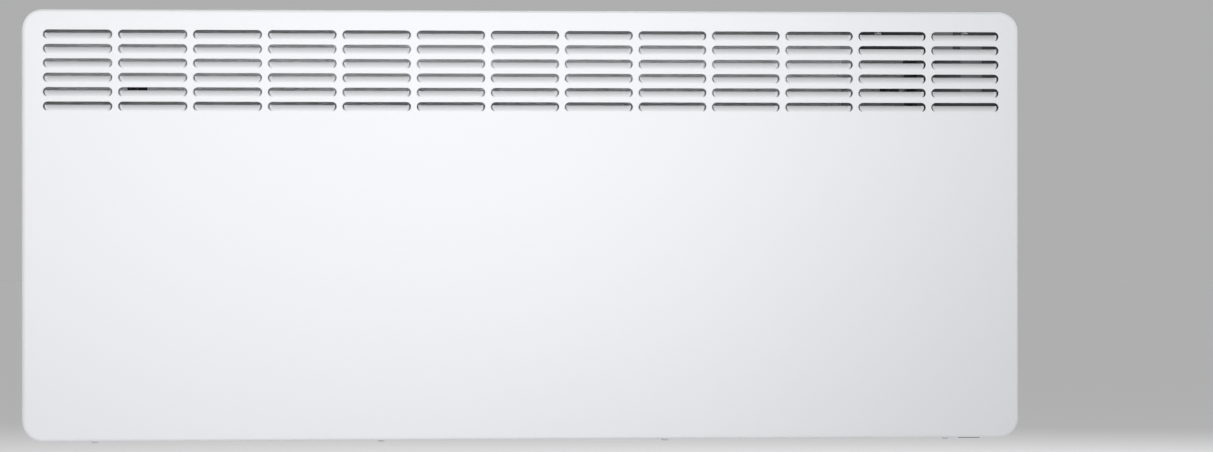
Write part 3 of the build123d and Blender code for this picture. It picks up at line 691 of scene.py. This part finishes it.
def punch(piece, holes):
    """Cuts straight holes right through a sheet: (centre, size, corner radius, axis) each."""
    tool = bmesh.new()
    for (x, y, z), (w, h), radius, axis in holes:
        spots = {
            "X": lambda a, b, level: (x + level, y + a, z + b),
            "Y": lambda a, b, level: (x + a, y + level, z + b),
            "Z": lambda a, b, level: (x + a, y + b, z + level),
        }
        corner = min(radius, w / 2 - 0.01, h / 2 - 0.01)
        strip(tool, rounded_loop(w, h, corner, arc=6), (-4.0, 4.0), spots[axis])
    carve(piece, tool)


holes = [
    ((INLET_MID_X + INLET_PITCH * (k - (INLETS - 1) / 2), y, TONGUE_Z), INLET_SIZE, 6, "Z")
    for k in range(INLETS)
    for y in INLET_YS
]
holes += [((x, SCREW_Y, TONGUE_Z), SCREW_HOLE, 2.2, "Z") for x in SCREW_XS]
holes.append(((SWITCH_X, SWITCH_Y, TONGUE_Z), SWITCH_HOLE, 0.8, "Z"))
holes.append(((GLAND_X, GLAND_Y, TONGUE_Z), GLAND_HOLE, 6.6, "Z"))
holes += [((x, BACK - 0.5, HOOK_HOLE_Z), HOOK_HOLE, 2.5, "Y") for x in HOOK_XS]
punch(tray, holes)


# ------------------------------------------------------------------ casing screws
# Four zinc-plated pan heads with a cross recess, driven up through both bottom flanges;
# the casing's notches slide in under them.
zinc_plate = even_finish(
    "zinc_plate", grain=420, detail=3, depth=0.00004,
    dark=(0.55, 0.56, 0.58), light=(0.74, 0.75, 0.76), rough=0.26, uneven=0.16, metallic=1.0,
)
# radii and heights above the seat, from the middle of the head to the shank
PAN_HEAD = (
    (0.9, 2.7), (1.9, 2.6), (2.9, 2.25), (3.7, 1.6), (4.12, 0.8), (4.2, 0.2), (4.1, 0.0), (2.0, 0.0),
)
CREST, ROOT, HALF_PITCH = 2.0, 1.62, 0.6
THREAD = [(CREST if k % 2 else ROOT, -0.5 - HALF_PITCH * k) for k in range(13)]
# half length, half width and height of the cross's mouth and floor
CROSS = ((2.5, 0.6, 3.0), (0.8, 0.35, 0.9))


def circle(radius, around):
    """So many points around a circle."""
    turns = [2 * math.pi * k / around for k in range(around)]
    return [(radius * math.cos(a), radius * math.sin(a)) for a in turns]


def turn(bm, profile, spot, around=24):
    """Turns a profile of (radius, height) pairs; spot says where (across, up, height) lies."""
    prism(bm, stack(bm, [(circle(radius, around), height) for radius, height in profile], spot))


def pan_screw(bm, tool, shank, spot):
    """Turns a screw on a shank, and adds the tapered cross of its recess to a carving tool."""
    turn(bm, (*PAN_HEAD, *shank), spot)
    layers = []
    for long, short, height in CROSS:
        arm = (Vector((long, -short)), Vector((long, short)), Vector((short, short)))
        cross = [Matrix.Rotation(math.pi / 2 * k, 2) @ corner for k in range(4) for corner in arm]
        layers.append((cross, height))
    prism(tool, stack(tool, layers, spot))


bm, tool = bmesh.new(), bmesh.new()
for x in SCREW_XS:
    pan_screw(
        bm, tool, (*THREAD, (1.2, -8.6)), lambda a, b, h: (x + a, SCREW_Y + b, UNDERSIDE - h)
    )
screws = finish_piece(
    "pan_head_screws", bm, [zinc_plate], "heater", ["casing_screws"], sharp=30
)
carve(screws, tool, 30)


# ------------------------------------------------------------------ wall bracket
# Two channels folded from 1.5 mm steel and joined by two uprights, all matt black: the black
# coat is partly painted shade, for the dark seen through the rear panel's hook holes. Hooks of 2 mm
# strip, each on a gusset, stand out of the upper channel and reach through the rear panel; four holes
# take the wall screws.
# painted shade: the bracket's near-black coat stands in for the shade behind the rear panel's hook
# holes
black_coat_and_painted_shade, coat = start_finish("matt_black_coat")
dust = cloud(coat, place(coat, 60), 4)
pebble = cloud(coat, place(coat, 1500), 2)
near_black = dust.blend((0.022, 0.022, 0.024), (0.038, 0.038, 0.04))
seal(coat, pebble, 0.00004, near_black, 0.52 + pebble * 0.16)

RAIL_Z = 150
RAIL_HALF = 440                 # half a channel's length
WALL_SCREW_XS = (-300, 300)
POST_XS = (-200, 200)
POST_HALF = 128
BRACKET_WALL = 1.5
BEND_OUT, BEND_IN, CUT_EDGE = 2.3, 0.8, 0.4


def soften(points, radii, steps=4):
    """A closed outline with an arc in place of each corner that has a radius."""
    outline = []
    for k, (point, radius) in enumerate(zip(points, radii)):
        here = Vector(point)
        if not radius:
            outline.append(here)
            continue
        back = (Vector(points[k - 1]) - here).normalized()
        on = (Vector(points[(k + 1) % len(points)]) - here).normalized()
        half = back.angle(on) / 2
        centre = here + (back + on).normalized() * radius / math.sin(half)
        first = here + back * radius / math.tan(half) - centre
        last = here + on * radius / math.tan(half) - centre
        sweep = first.angle_signed(last)
        for i in range(steps + 1):
            outline.append(centre + Matrix.Rotation(-sweep * i / steps, 2) @ first)
    return outline


def channel(half, lip=8.0):
    """The section of a channel: half its height, and lips that stand out from the wall."""
    inner = half - BRACKET_WALL
    points = (
        (-half, -lip), (-half, 0), (half, 0), (half, -lip),
        (inner, -lip), (inner, -BRACKET_WALL), (-inner, -BRACKET_WALL), (-inner, -lip),
    )
    radii = (CUT_EDGE, BEND_OUT, BEND_OUT, CUT_EDGE, CUT_EDGE, BEND_IN, BEND_IN, CUT_EDGE)
    return soften(points, radii)


for name, z, node in (("top_channel", RAIL_Z, "upper_rail"), ("low_channel", -RAIL_Z, "lower_rail")):
    bm = bmesh.new()
    strip(bm, channel(22), (-RAIL_HALF, RAIL_HALF), lambda a, b, level: (level, b, z + a))
    rail = finish_piece(name, bm, [black_coat_and_painted_shade], "wall_bracket", [node])
    punch(rail, [((x, -BRACKET_WALL / 2, z), (6, 6), 3, "Y") for x in WALL_SCREW_XS])

bm = bmesh.new()
for x in POST_XS:
    strip(bm, channel(15), (-POST_HALF, POST_HALF), lambda a, b, level: (x + a, b, level))
finish_piece(
    "bracket_posts", bm, [black_coat_and_painted_shade], "wall_bracket", ["bracket_uprights"]
)

# the hook and its gusset from the side, in Y and Z
hook = soften(
    ((-1.5, 151), (-29.5, 151), (-29.5, 156.5), (-27.5, 156.5), (-27.5, 153), (-1.5, 153)),
    (0, 2.4, 0.7, 0.7, 0.6, 0),
)
gusset = ((-1.5, 151), (-1.5, 131), (-23, 151))
bm = bmesh.new()
for x in HOOK_XS:
    strip(bm, hook, (x - 8, x + 8), lambda a, b, level: (level, a, b))
    strip(bm, gusset, (x - 1, x + 1), lambda a, b, level: (level, a, b))
finish_piece(
    "bracket_hooks", bm, [black_coat_and_painted_shade], "wall_bracket", ["upper_rail"], bevel=0.25
)


# ------------------------------------------------------------------ wall buffers
# Two moulded rubber bellows on the lower channel, each held by a rivet in its dimple.
# They keep the heater plumb and its back clear of the wall.
rubber = even_finish(
    "black_rubber", grain=220, detail=4, depth=0.00005,
    dark=(0.018, 0.018, 0.018), light=(0.04, 0.039, 0.038), rough=0.7, uneven=0.12,
)
BUFFER_XS = (-380, 380)
BUFFER_W = 24
DIMPLE_Y = -21
# how far in from the buffer's outline, and where along Y
BELLOWS = (
    (0.0, -1.5), (0.0, -5.6), (0.9, -6.4), (0.9, -8.2), (0.0, -9.0), (0.0, -13.4), (0.9, -14.2),
    (0.9, -16.0), (0.0, -16.8), (0.0, -23.4), (0.5, -24.4), (1.5, -25.0), (8.0, -25.0),
    (8.4, -24.6), (8.5, DIMPLE_Y),
)


def inset_layers(width, height, radius, steps, arc, least=0):
    """Layers of a rounded rectangle, from (inset, level) steps; its corners keep a least radius."""
    layers = []
    for inset, level in steps:
        corner = max(radius - inset, least)
        layers.append((rounded_loop(width - 2 * inset, height - 2 * inset, corner, arc=arc), level))
    return layers


layers = inset_layers(BUFFER_W, BUFFER_W, 4, BELLOWS, arc=5, least=3.4)
bm = bmesh.new()
for x in BUFFER_XS:
    prism(bm, stack(bm, layers, lambda a, b, y: (x + a, y, -RAIL_Z + b)))
finish_piece("rubber_buffers", bm, [rubber], "wall_bracket", ["wall_buffers"])

rivet = ((0.6, 2.2), (1.8, 2.0), (2.6, 1.4), (2.9, 0.6), (2.9, 0.0))
bm = bmesh.new()
for x in BUFFER_XS:
    turn(bm, rivet, lambda a, b, h: (x + a, DIMPLE_Y - h, -RAIL_Z + b))
finish_piece("buffer_rivets", bm, [zinc_plate], "wall_bracket")


# ------------------------------------------------------------------ heating element
# An extruded aluminium X section around a sheathed heater, slit so that it can grow
# without buckling. Steatite beads close both ends and carry it in two sheet brackets, and
# two nickel pins come out of the right one.
def drawn_lines(coat, along, across):
    """Fine lines along X, from so many patches to a metre along and across them."""
    where = {0: place(coat), 1: (along, across, across)}
    stretched = coat.lay("ShaderNodeVectorMath", {"operation": "MULTIPLY"}, where)
    return cloud(coat, stretched, 3)


def dress(finish, *nodes):
    """Gives parts that are kept as drawn their real finish."""
    for node in nodes:
        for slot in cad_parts[node].material_slots:
            slot.material = finish


extrusion, coat = start_finish("extruded_aluminium")
lines = drawn_lines(coat, 6, 900)
tarnish = cloud(coat, place(coat, 30), 3).blend((0.62, 0.62, 0.62), (0.78, 0.78, 0.77))
seal(coat, lines, 0.00004, tarnish, 0.3 + lines * 0.2, 1.0)
dress(extrusion, "heating_element")

steatite = even_finish(
    "unglazed_steatite", grain=900, detail=4, depth=0.00005,
    dark=(0.80, 0.77, 0.68), light=(0.88, 0.86, 0.79), rough=0.62, uneven=0.2,
)
ELEMENT_Y, ELEMENT_Z = -74, -112
ELEMENT_LEFT, ELEMENT_RIGHT = -470, 310
SEAL_LEN = 12
PIN_OFFSET = 2.4
seal_profile = (
    (6.3, 0.0), (6.5, 0.3), (6.5, 6.6), (6.1, 7.0), (4.6, 7.2), (4.4, 7.6), (4.4, 11.4),
    (3.9, SEAL_LEN),
)
bm = bmesh.new()
for end, out in ((ELEMENT_RIGHT, 1), (ELEMENT_LEFT, -1)):
    turn(bm, seal_profile, lambda a, b, h: (end + out * h, ELEMENT_Y + a, ELEMENT_Z + b), 32)
finish_piece("steatite_beads", bm, [steatite], "heater", ["element_seals"], sharp=35)

nickel = even_finish(
    "nickel_pins", grain=800, detail=3, depth=0.00002,
    dark=(0.58, 0.56, 0.52), light=(0.72, 0.70, 0.66), rough=0.25, uneven=0.15, metallic=1.0,
)
PIN_LEN = 12
pin = ((1.05, 0.0), (1.05, 11.2), (0.8, 11.8), (0.4, PIN_LEN))
pin_x = ELEMENT_RIGHT + SEAL_LEN
bm = bmesh.new()
for side in (-PIN_OFFSET, PIN_OFFSET):
    turn(bm, pin, lambda a, b, h: (pin_x + h, ELEMENT_Y + side + a, ELEMENT_Z + b), 16)
finish_piece("terminal_pins", bm, [nickel], "heater", ["element_pins"])

# The brackets and the folded shield behind the element are bright aluminised sheet, tinted
# a little by the heat.
shield_sheet, coat = start_finish("aluminised_sheet")
rolling = drawn_lines(coat, 5, 400)
heat = cloud(coat, place(coat, 9), 2).blend((0.60, 0.59, 0.57), (0.74, 0.74, 0.745))
seal(coat, rolling, 0.00002, heat, 0.3 + rolling * 0.18, 0.9)
dress(shield_sheet, "element_carriers", "heat_shield")


# ------------------------------------------------------------------ safety cut-out
# A disc thermostat of dark phenolic on a small plate, held to the shield's face by two
# rivets. It stops the element when the heater is covered.
phenolic = even_finish(
    "dark_phenolic", grain=1300, detail=3, depth=0.00003,
    dark=(0.035, 0.028, 0.024), light=(0.07, 0.058, 0.05), rough=0.36, uneven=0.18,
)
CUTOUT_X, CUTOUT_Z = 200, 20
SHIELD_FACE = -37
PLATE_FACE = SHIELD_FACE - 1
disc = ((7.0, 1.0), (7.0, 4.4), (6.6, 4.8), (6.3, 4.8), (6.3, 7.2), (5.6, 8.4), (5.0, 9.0))
plate = rounded_loop(30, 15, 3, arc=5)
bm = bmesh.new()
strip(bm, plate, (SHIELD_FACE, PLATE_FACE), lambda a, b, y: (CUTOUT_X + a, y, CUTOUT_Z + b))
turn(bm, disc, lambda a, b, h: (CUTOUT_X + a, SHIELD_FACE - h, CUTOUT_Z + b), 36)
finish_piece(
    "cutout_disc", bm, [phenolic], "heater", ["thermal_cutout"], bevel=0.15
)

rivet = ((0.4, 1.2), (1.4, 1.0), (2.0, 0.5), (2.1, 0.0))
bm = bmesh.new()
for x in (CUTOUT_X - 11, CUTOUT_X + 11):
    turn(bm, rivet, lambda a, b, h: (x + a, PLATE_FACE - h, CUTOUT_Z + b), 20)
finish_piece("cutout_rivets", bm, [zinc_plate], "heater")


# ------------------------------------------------------------------ partition
# A galvanised wall keeps the element's heat from the controls. Its foot is spot-welded to
# the rear panel, and a rubber grommet lines the hole for the element's wires.
dress(bright_zinc, "partition")
dress(rubber, "wire_grommet")


# ------------------------------------------------------------------ control housing
# A dark moulding over the thermostat, open to the rear, with an arm at its top as the wires'
# duct. Two screws hold it on turned posts, and a grey nylon saddle is clipped to its face.
# All of it is seen through the right-hand louvres.
dark_moulding, coat = start_finish("dark_moulding")
spark = cloud(coat, place(coat, 1400), 3)
flow = cloud(coat, place(coat, 18), 2)
across_x = coat.lay("ShaderNodeSeparateXYZ", None, {"Vector": place(coat)}, out="X")
# from the duct to the thermostat its black fades to a dark grey
fading = {"Value": across_x, "From Min": 0.40, "From Max": 0.455, "To Max": 0.8}
faded = coat.lay("ShaderNodeMapRange", None, fading)
black_to_grey = (faded + flow * 0.2).blend((0.012, 0.0125, 0.014), (0.15, 0.152, 0.158))
seal(coat, spark, 0.00005, black_to_grey, 0.42 + spark * 0.14)

HOUSING_LEFT, HOUSING_RIGHT = 418, 511
HOUSING_LOW, HOUSING_TOP = 70, 212
HOUSING_FACE = -108.0
DUCT_LEFT, DUCT_LOW = 353, 184
HOUSING_WALL = 2
corners = (
    (HOUSING_LEFT, HOUSING_LOW), (HOUSING_RIGHT, HOUSING_LOW), (HOUSING_RIGHT, HOUSING_TOP),
    (DUCT_LEFT, HOUSING_TOP), (DUCT_LEFT, DUCT_LOW), (HOUSING_LEFT, DUCT_LOW),
)
layers = []
for inset, y in ((2.0, HOUSING_FACE), (0.9, -107.6), (0.25, -106.8), (0.0, -105.6), (0.0, -26.0)):
    shrunk = []
    for x, z in corners:
        inwards_x = -1 if x == HOUSING_RIGHT else 1
        inwards_z = -1 if z == HOUSING_TOP else 1
        shrunk.append((x + inset * inwards_x, z + inset * inwards_z))
    layers.append((soften(shrunk, (4, 4, 4, 4, 4, 3)), y))
bm = bmesh.new()
rings = stack(bm, layers, lambda a, b, y: (a, y, b))
skin(bm, rings)
bm.faces.new(rings[0])
housing = finish_piece(
    "thermostat_cover", bm, [dark_moulding], "heater", ["control_housing"],
    wall=HOUSING_WALL,
)
spindle_hole = ((HOUSING_RIGHT - HOUSING_WALL / 2, KNOB_Y, KNOB_Z), (10.4, 10.4), 5.2, "X")
wire_hole = ((494, KNOB_Y, HOUSING_LOW + HOUSING_WALL / 2), (26, 44), 2.0, "Z")
punch(housing, [spindle_hole, wire_hole])

POST_SCREW_XS = (377.0, 470.0)
POST_SCREW_Z = 203
turned_post = ((2.0, -1.8), (4.4, -2.2), (4.4, -80.0), (3.8, -81.8))
bm, tool = bmesh.new(), bmesh.new()
for x in POST_SCREW_XS:
    pan_screw(bm, tool, turned_post, lambda a, b, h: (x + a, HOUSING_FACE - h, POST_SCREW_Z + b))
posts = finish_piece(
    "housing_screws", bm, [zinc_plate], "heater", ["housing_posts"], sharp=30
)
carve(posts, tool, 30)

nylon = even_finish(
    "grey_nylon", grain=500, detail=3, depth=0.00004,
    dark=(0.34, 0.35, 0.36), light=(0.42, 0.43, 0.44), rough=0.4, uneven=0.15,
)
SADDLE_FACE = HOUSING_FACE - 2.4
saddle = soften(
    ((183, HOUSING_FACE), (183, SADDLE_FACE), (208, SADDLE_FACE), (208, HOUSING_FACE)),
    (0, 1.6, 1.6, 0),
)
bm = bmesh.new()
strip(bm, saddle, (436, 457), lambda z, y, x: (x, y, z))
finish_piece("duct_saddle", bm, [nylon], "heater", bevel=0.4)


# ------------------------------------------------------------------ thermostat
# An off-white thermoset body behind the housing's wall, with its steel spindle; a grey strap on
# the housing's face holds its sensor. A grey moulding in the side wall makes a square recess
# for the knob, with numbers from 0 to 7 printed on its rim.
thermoset = even_finish(
    "off_white_thermoset", grain=600, detail=4, depth=0.00004,
    dark=(0.68, 0.66, 0.60), light=(0.77, 0.75, 0.69), rough=0.45, uneven=0.15,
)
dress(thermoset, "thermostat_body")
dress(zinc_plate, "thermostat_spindle")

grey_moulding = even_finish(
    "grey_moulding", grain=1600, detail=3, depth=0.00006,
    dark=(0.27, 0.28, 0.29), light=(0.33, 0.34, 0.35), rough=0.46, uneven=0.16,
)
STRAP_X, STRAP_Z = 477, 162
STRAP_W, STRAP_H = 23, 66
strap_edge = ((0.0, -107.9), (0.0, -109.2), (0.3, -109.7), (0.9, -110.0))
layers = inset_layers(STRAP_W, STRAP_H, 5, strap_edge, arc=6)
bm = bmesh.new()
prism(bm, stack(bm, layers, lambda a, b, y: (STRAP_X + a, y, STRAP_Z + b)))
finish_piece("sensor_strap", bm, [grey_moulding], "heater")

# along X: the square's size and corner radius, over the rim and down into the recess
RECESS_SQUARES = (
    (511.0, 50.0, 2.0), (524.7, 50.0, 2.0), (525.0, 50.6, 2.3), (525.0, 57.4, 5.7),
    (525.2, 58.0, 6.0), (525.8, 58.0, 6.0), (526.2, 57.6, 5.8), (526.5, 56.6, 5.3),
    (526.5, 47.4, 4.7), (526.3, 46.5, 4.3), (525.7, 46.0, 4.0), (515.4, 46.0, 4.0),
    (514.4, 45.4, 3.7), (514.0, 44.2, 3.1),
)
RECESS_HOLE = ((5.2, 514.0), (5.2, 511.0))


def circled(loop, radius):
    """A loop's points moved in onto a circle."""
    return [(radius * a / math.hypot(a, b), radius * b / math.hypot(a, b)) for a, b in loop]


def squares_and_hole(squares, hole, gap, arc=8):
    """Layers for rounded squares, from (level, size, corner), and a round hole within them.

    The gap is the distance between the extra points along a side, which the hole needs."""
    stops = ([gap * k for k in range(-3, 4)],) * 4
    layers = []
    for level, size, corner in squares:
        layers.append((rounded_loop(size, size, corner, 0, stops, arc), level))
    inner = layers[-1][0]
    return layers + [(circled(inner, radius), level) for radius, level in hole]


def tube(bm, rings):
    """A closed solid with a hole: each ring is joined to the next, and the last to the first."""
    skin(bm, (*rings, rings[0]))


bm = bmesh.new()
layers = squares_and_hole(RECESS_SQUARES, RECESS_HOLE, 5.0)
tube(bm, stack(bm, layers, lambda a, b, x: (x, KNOB_Y + a, KNOB_Z + b)))
finish_piece(
    "knob_recess", bm, [grey_moulding], "heater", ["control_bezel"], sharp=60
)

dial_ink = even_finish(
    "dial_ink", grain=1200, detail=3, depth=0,
    dark=(0.72, 0.72, 0.71), light=(0.82, 0.82, 0.81), rough=0.5, uneven=0.1,
)
ZERO_AT = math.radians(-140)    # where the pointer is at rest, from straight up
STEP = math.radians(40)
DIAL_FACE = 526.52
DIAL_REACH = 26.3               # the rim's middle line, from the knob's axis
facing_right = Matrix(((0, 0, 1), (1, 0, 0), (0, 1, 0))).to_4x4()


def drawn_mesh(curve):
    """The mesh of a text or a wire that Blender draws."""
    drawing = bpy.data.objects.new(curve.name, curve)
    bpy.context.collection.objects.link(drawing)
    bpy.context.view_layer.update()
    mesh = bpy.data.meshes.new_from_object(drawing)
    bpy.data.objects.remove(drawing)
    return mesh


bm = bmesh.new()
for number in range(8):
    angle = ZERO_AT + STEP * number
    a, b = math.sin(angle), math.cos(angle)
    reach = DIAL_REACH / max(abs(a), abs(b))
    figure = bpy.data.curves.new("figure", "FONT")
    figure.body = str(number)
    figure.size = 4.6
    figure.extrude = 0.03
    figure.align_x = "CENTER"
    figure.align_y = "CENTER"
    mesh = drawn_mesh(figure)
    spot = (DIAL_FACE, KNOB_Y + reach * a, KNOB_Z + reach * b)
    mesh.transform(Matrix.Translation(spot) @ facing_right)
    bm.from_mesh(mesh)
finish_piece("dial_numbers", bm, [dial_ink], "heater")


# ------------------------------------------------------------------ thermostat knob
# A white moulding with a milled edge and a grip bar across its face; the pointer is a
# groove along one end of the bar, filled with grey.
white_moulding, coat = start_finish("white_moulding")
gloss = cloud(coat, place(coat, 700), 3)
tone = cloud(coat, place(coat, 50), 2).blend((0.80, 0.80, 0.79), (0.85, 0.85, 0.845))
seal(coat, gloss, 0.00002, tone, 0.3 + gloss * 0.1)

KNOB_X = 515.2
MILLING = 120
# radius, height, and how deep the milling is there
KNOB_PROFILE = (
    (17.0, 0.0, 0), (18.5, 0.1, 0), (18.9, 0.6, 0), (18.95, 1.2, 0.35), (18.95, 6.6, 0.35),
    (18.95, 7.1, 0), (18.7, 7.8, 0), (18.2, 8.2, 0), (17.2, 8.3, 0), (11.0, 8.3, 0), (10.0, 8.1, 0),
)
BAR_W, BAR_L = 7, 36
BAR_EDGE = ((0.0, 7.9), (0.3, 12.6), (0.5, 13.5), (0.9, 14.1), (1.6, 14.3))
POINTER_AT = 11.4
POINTER_FLOOR = 13.7


def on_knob(a, b, h):
    """A place on the knob at rest: across the bar, along it towards the pointer, and out."""
    y = KNOB_Y + a * math.cos(ZERO_AT) + b * math.sin(ZERO_AT)
    return (KNOB_X + h, y, KNOB_Z - a * math.sin(ZERO_AT) + b * math.cos(ZERO_AT))


layers = []
for radius, height, milled in KNOB_PROFILE:
    loop = []
    for k in range(MILLING):
        a, r = 2 * math.pi * k / MILLING, radius - milled * (k % 3 == 0)
        loop.append((r * math.cos(a), r * math.sin(a)))
    layers.append((loop, height))
bm = bmesh.new()
prism(bm, stack(bm, layers, on_knob))
prism(bm, stack(bm, inset_layers(BAR_W, BAR_L, 3.4, BAR_EDGE, arc=8), on_knob))
knob = finish_piece(
    "knob_moulding", bm, [white_moulding], "knob", ["thermostat_knob"], sharp=35
)
groove = [(a, POINTER_AT + b) for a, b in rounded_loop(1.2, 10.0, 0.59, arc=5)]
tool = bmesh.new()
strip(tool, groove, (POINTER_FLOOR, 15.0), on_knob)
carve(knob, tool, 35)
bm = bmesh.new()
strip(bm, groove, (POINTER_FLOOR, 14.1), on_knob)
finish_piece("pointer_fill", bm, [grey_moulding], "knob", ["thermostat_knob"])


# ------------------------------------------------------------------ rocker switch
# A snap-in switch in the underside: a black nylon frame with a rocker that lies level with
# it at one end and stands proud at the other, marked with a bar and a ring.
switch_nylon = even_finish(
    "black_nylon", grain=1500, detail=3, depth=0.00004,
    dark=(0.025, 0.025, 0.027), light=(0.05, 0.05, 0.053), rough=0.38, uneven=0.14,
)
# along Z: width, length and corner radius, over the rim and up into the well
SWITCH_FRAME = (
    (-200.0, 19.4, 26.4, 0.8), (-200.4, 20.6, 27.6, 1.2), (-224.0, 20.6, 27.6, 1.2),
    (-224.0, 22.4, 29.4, 2.0), (-224.3, 23.0, 30.0, 2.2), (-226.1, 23.0, 30.0, 2.2),
    (-226.6, 22.6, 29.6, 2.0), (-226.8, 21.8, 28.8, 1.8), (-226.8, 17.4, 24.8, 1.2),
    (-226.5, 16.8, 24.2, 1.0), (-226.0, 16.6, 24.0, 0.9), (-212.0, 16.6, 24.0, 0.9),
)
layers = [
    (rounded_loop(width, length, corner, arc=6), z) for z, width, length, corner in SWITCH_FRAME
]
bm = bmesh.new()
prism(bm, stack(bm, layers, lambda a, b, z: (SWITCH_X + a, SWITCH_Y + b, z)))
finish_piece("switch_frame", bm, [switch_nylon], "heater", ["switch_body"], sharp=60)

PIVOT_Z = -221
TILT = math.radians(-8)
ROCKER_END = 11                 # half the rocker's length
ROCKER_HALF = 8.0               # half its width
RING_AT = -6.4                  # the ring's middle, along the rocker
RING_IN, RING_OUT = 1.45, 2.05
BAR_AT, BAR_END = 6.1, 6.7
MARK_SUNK, MARK_PROUD = -0.2, 0.08


def on_rocker(a, b, x):
    """A place on the rocker at rest: along it, up from its pivot, and across."""
    y = SWITCH_Y + a * math.cos(TILT) - b * math.sin(TILT)
    return (SWITCH_X + x, y, PIVOT_Z + a * math.sin(TILT) + b * math.cos(TILT))


def face(a, proud=0.0):
    """How far the rocker's hollow face stands below its pivot, at a place along it."""
    return -4.6 - 0.8 * (a / ROCKER_END) ** 2 - proud


paddle = [(a, face(a)) for a in range(-ROCKER_END, ROCKER_END + 1, 2)]
paddle += [(ROCKER_END, -1.5), (3, 3), (-3, 3), (-ROCKER_END, -1.5)]
bm = bmesh.new()
strip(bm, paddle, (-ROCKER_HALF, ROCKER_HALF), on_rocker)
finish_piece(
    "rocker_paddle", bm, [switch_nylon], "rocker", ["switch_rocker"], bevel=0.5
)


def on_face(a, x, proud):
    """A place on the rocker's hollow face: along it from the ring's middle, across and out."""
    return on_rocker(RING_AT + a, face(RING_AT + a, proud), x)


inner, outer = circle(RING_IN, 28), circle(RING_OUT, 28)
layers = ((inner, MARK_SUNK), (outer, MARK_SUNK), (outer, MARK_PROUD), (inner, MARK_PROUD))
bm = bmesh.new()
tube(bm, stack(bm, layers, on_face))
bar = (
    (BAR_AT, face(BAR_AT, MARK_SUNK)), (BAR_AT, face(BAR_AT, MARK_PROUD)),
    (BAR_END, face(BAR_END, MARK_PROUD)), (BAR_END, face(BAR_END, MARK_SUNK)),
)
strip(bm, bar, (-2.0, 2.0), on_rocker)
finish_piece("rocker_marks", bm, [dial_ink], "rocker", ["switch_rocker"])


# ------------------------------------------------------------------ mains side
# A black nylon gland lines the cable's hole in the bottom flange. Inside, a thermoset
# block takes the three conductors, and silicone-jacketed wires with tinned brass push-on
# tabs run to the switch, the thermostat and the element.
GLAND_SQUARES = (
    (-224.0, 19.4, 3.2), (-224.3, 20.0, 3.5), (-225.2, 20.0, 3.5), (-225.7, 19.4, 3.2),
    (-226.0, 18.2, 3.0),
)
GLAND_BORE = (
    (6.3, -226.0), (5.2, -225.6), (4.4, -224.6), (4.0, -223.0), (4.0, -212.4), (4.4, -212.0),
    (6.1, -212.0), (6.5, -212.5), (6.5, -224.0),
)
bm = bmesh.new()
layers = squares_and_hole(GLAND_SQUARES, GLAND_BORE, 1.5)
tube(bm, stack(bm, layers, lambda a, b, z: (GLAND_X + a, GLAND_Y + b, z)))
finish_piece("mains_gland", bm, [switch_nylon], "heater", ["cable_gland"], sharp=50)

dress(thermoset, "terminal_block")

tinned_brass = even_finish(
    "tinned_brass", grain=350, detail=4, depth=0.00003,
    dark=(0.62, 0.50, 0.27), light=(0.78, 0.66, 0.38), rough=0.28, uneven=0.2, metallic=1.0,
)
dress(tinned_brass, "spade_tabs")

silicone = even_finish(
    "silicone_jacket", grain=500, detail=4, depth=0.00004,
    dark=(0.42, 0.09, 0.06), light=(0.56, 0.14, 0.09), rough=0.5, uneven=0.18,
)
WIRE_R = 1.2
PIN_END = pin_x + PIN_LEN
wire_runs = (
    (
        (PIN_END, -76.4, -112), (352, -76.4, -112), (370, -76.4, -112), (370, -86, -60),
        (497, -86, 20), (497, -86, 124),
    ),
    (
        (PIN_END, -71.6, -112), (363, -71.6, -112), (392, -71.6, -112), (408, -37, -112),
        (408, -37, -138),
    ),
    ((478.5, -82, -192), (478.5, -82, -126), (478.5, -82, -60), (497, -66, 20), (497, -66, 124)),
    ((423, -37, -138), (423, -37, -100), (460, -68, -100), (478.5, -68, -130), (478.5, -68, -192)),
)
bm = bmesh.new()
for run in wire_runs:
    wire = bpy.data.curves.new("wire", "CURVE")
    wire.dimensions = "3D"
    wire.bevel_depth = WIRE_R
    wire.bevel_resolution = 3
    wire.use_fill_caps = True
    line = wire.splines.new("NURBS")
    line.points.add(len(run) - 1)
    for point, at in zip(line.points, run):
        point.co = (*at, 1.0)
    line.order_u = 3
    line.use_endpoint_u = True
    line.resolution_u = 10
    bm.from_mesh(drawn_mesh(wire))
finish_piece("silicone_wires", bm, [silicone], "heater", ["internal_wires"])
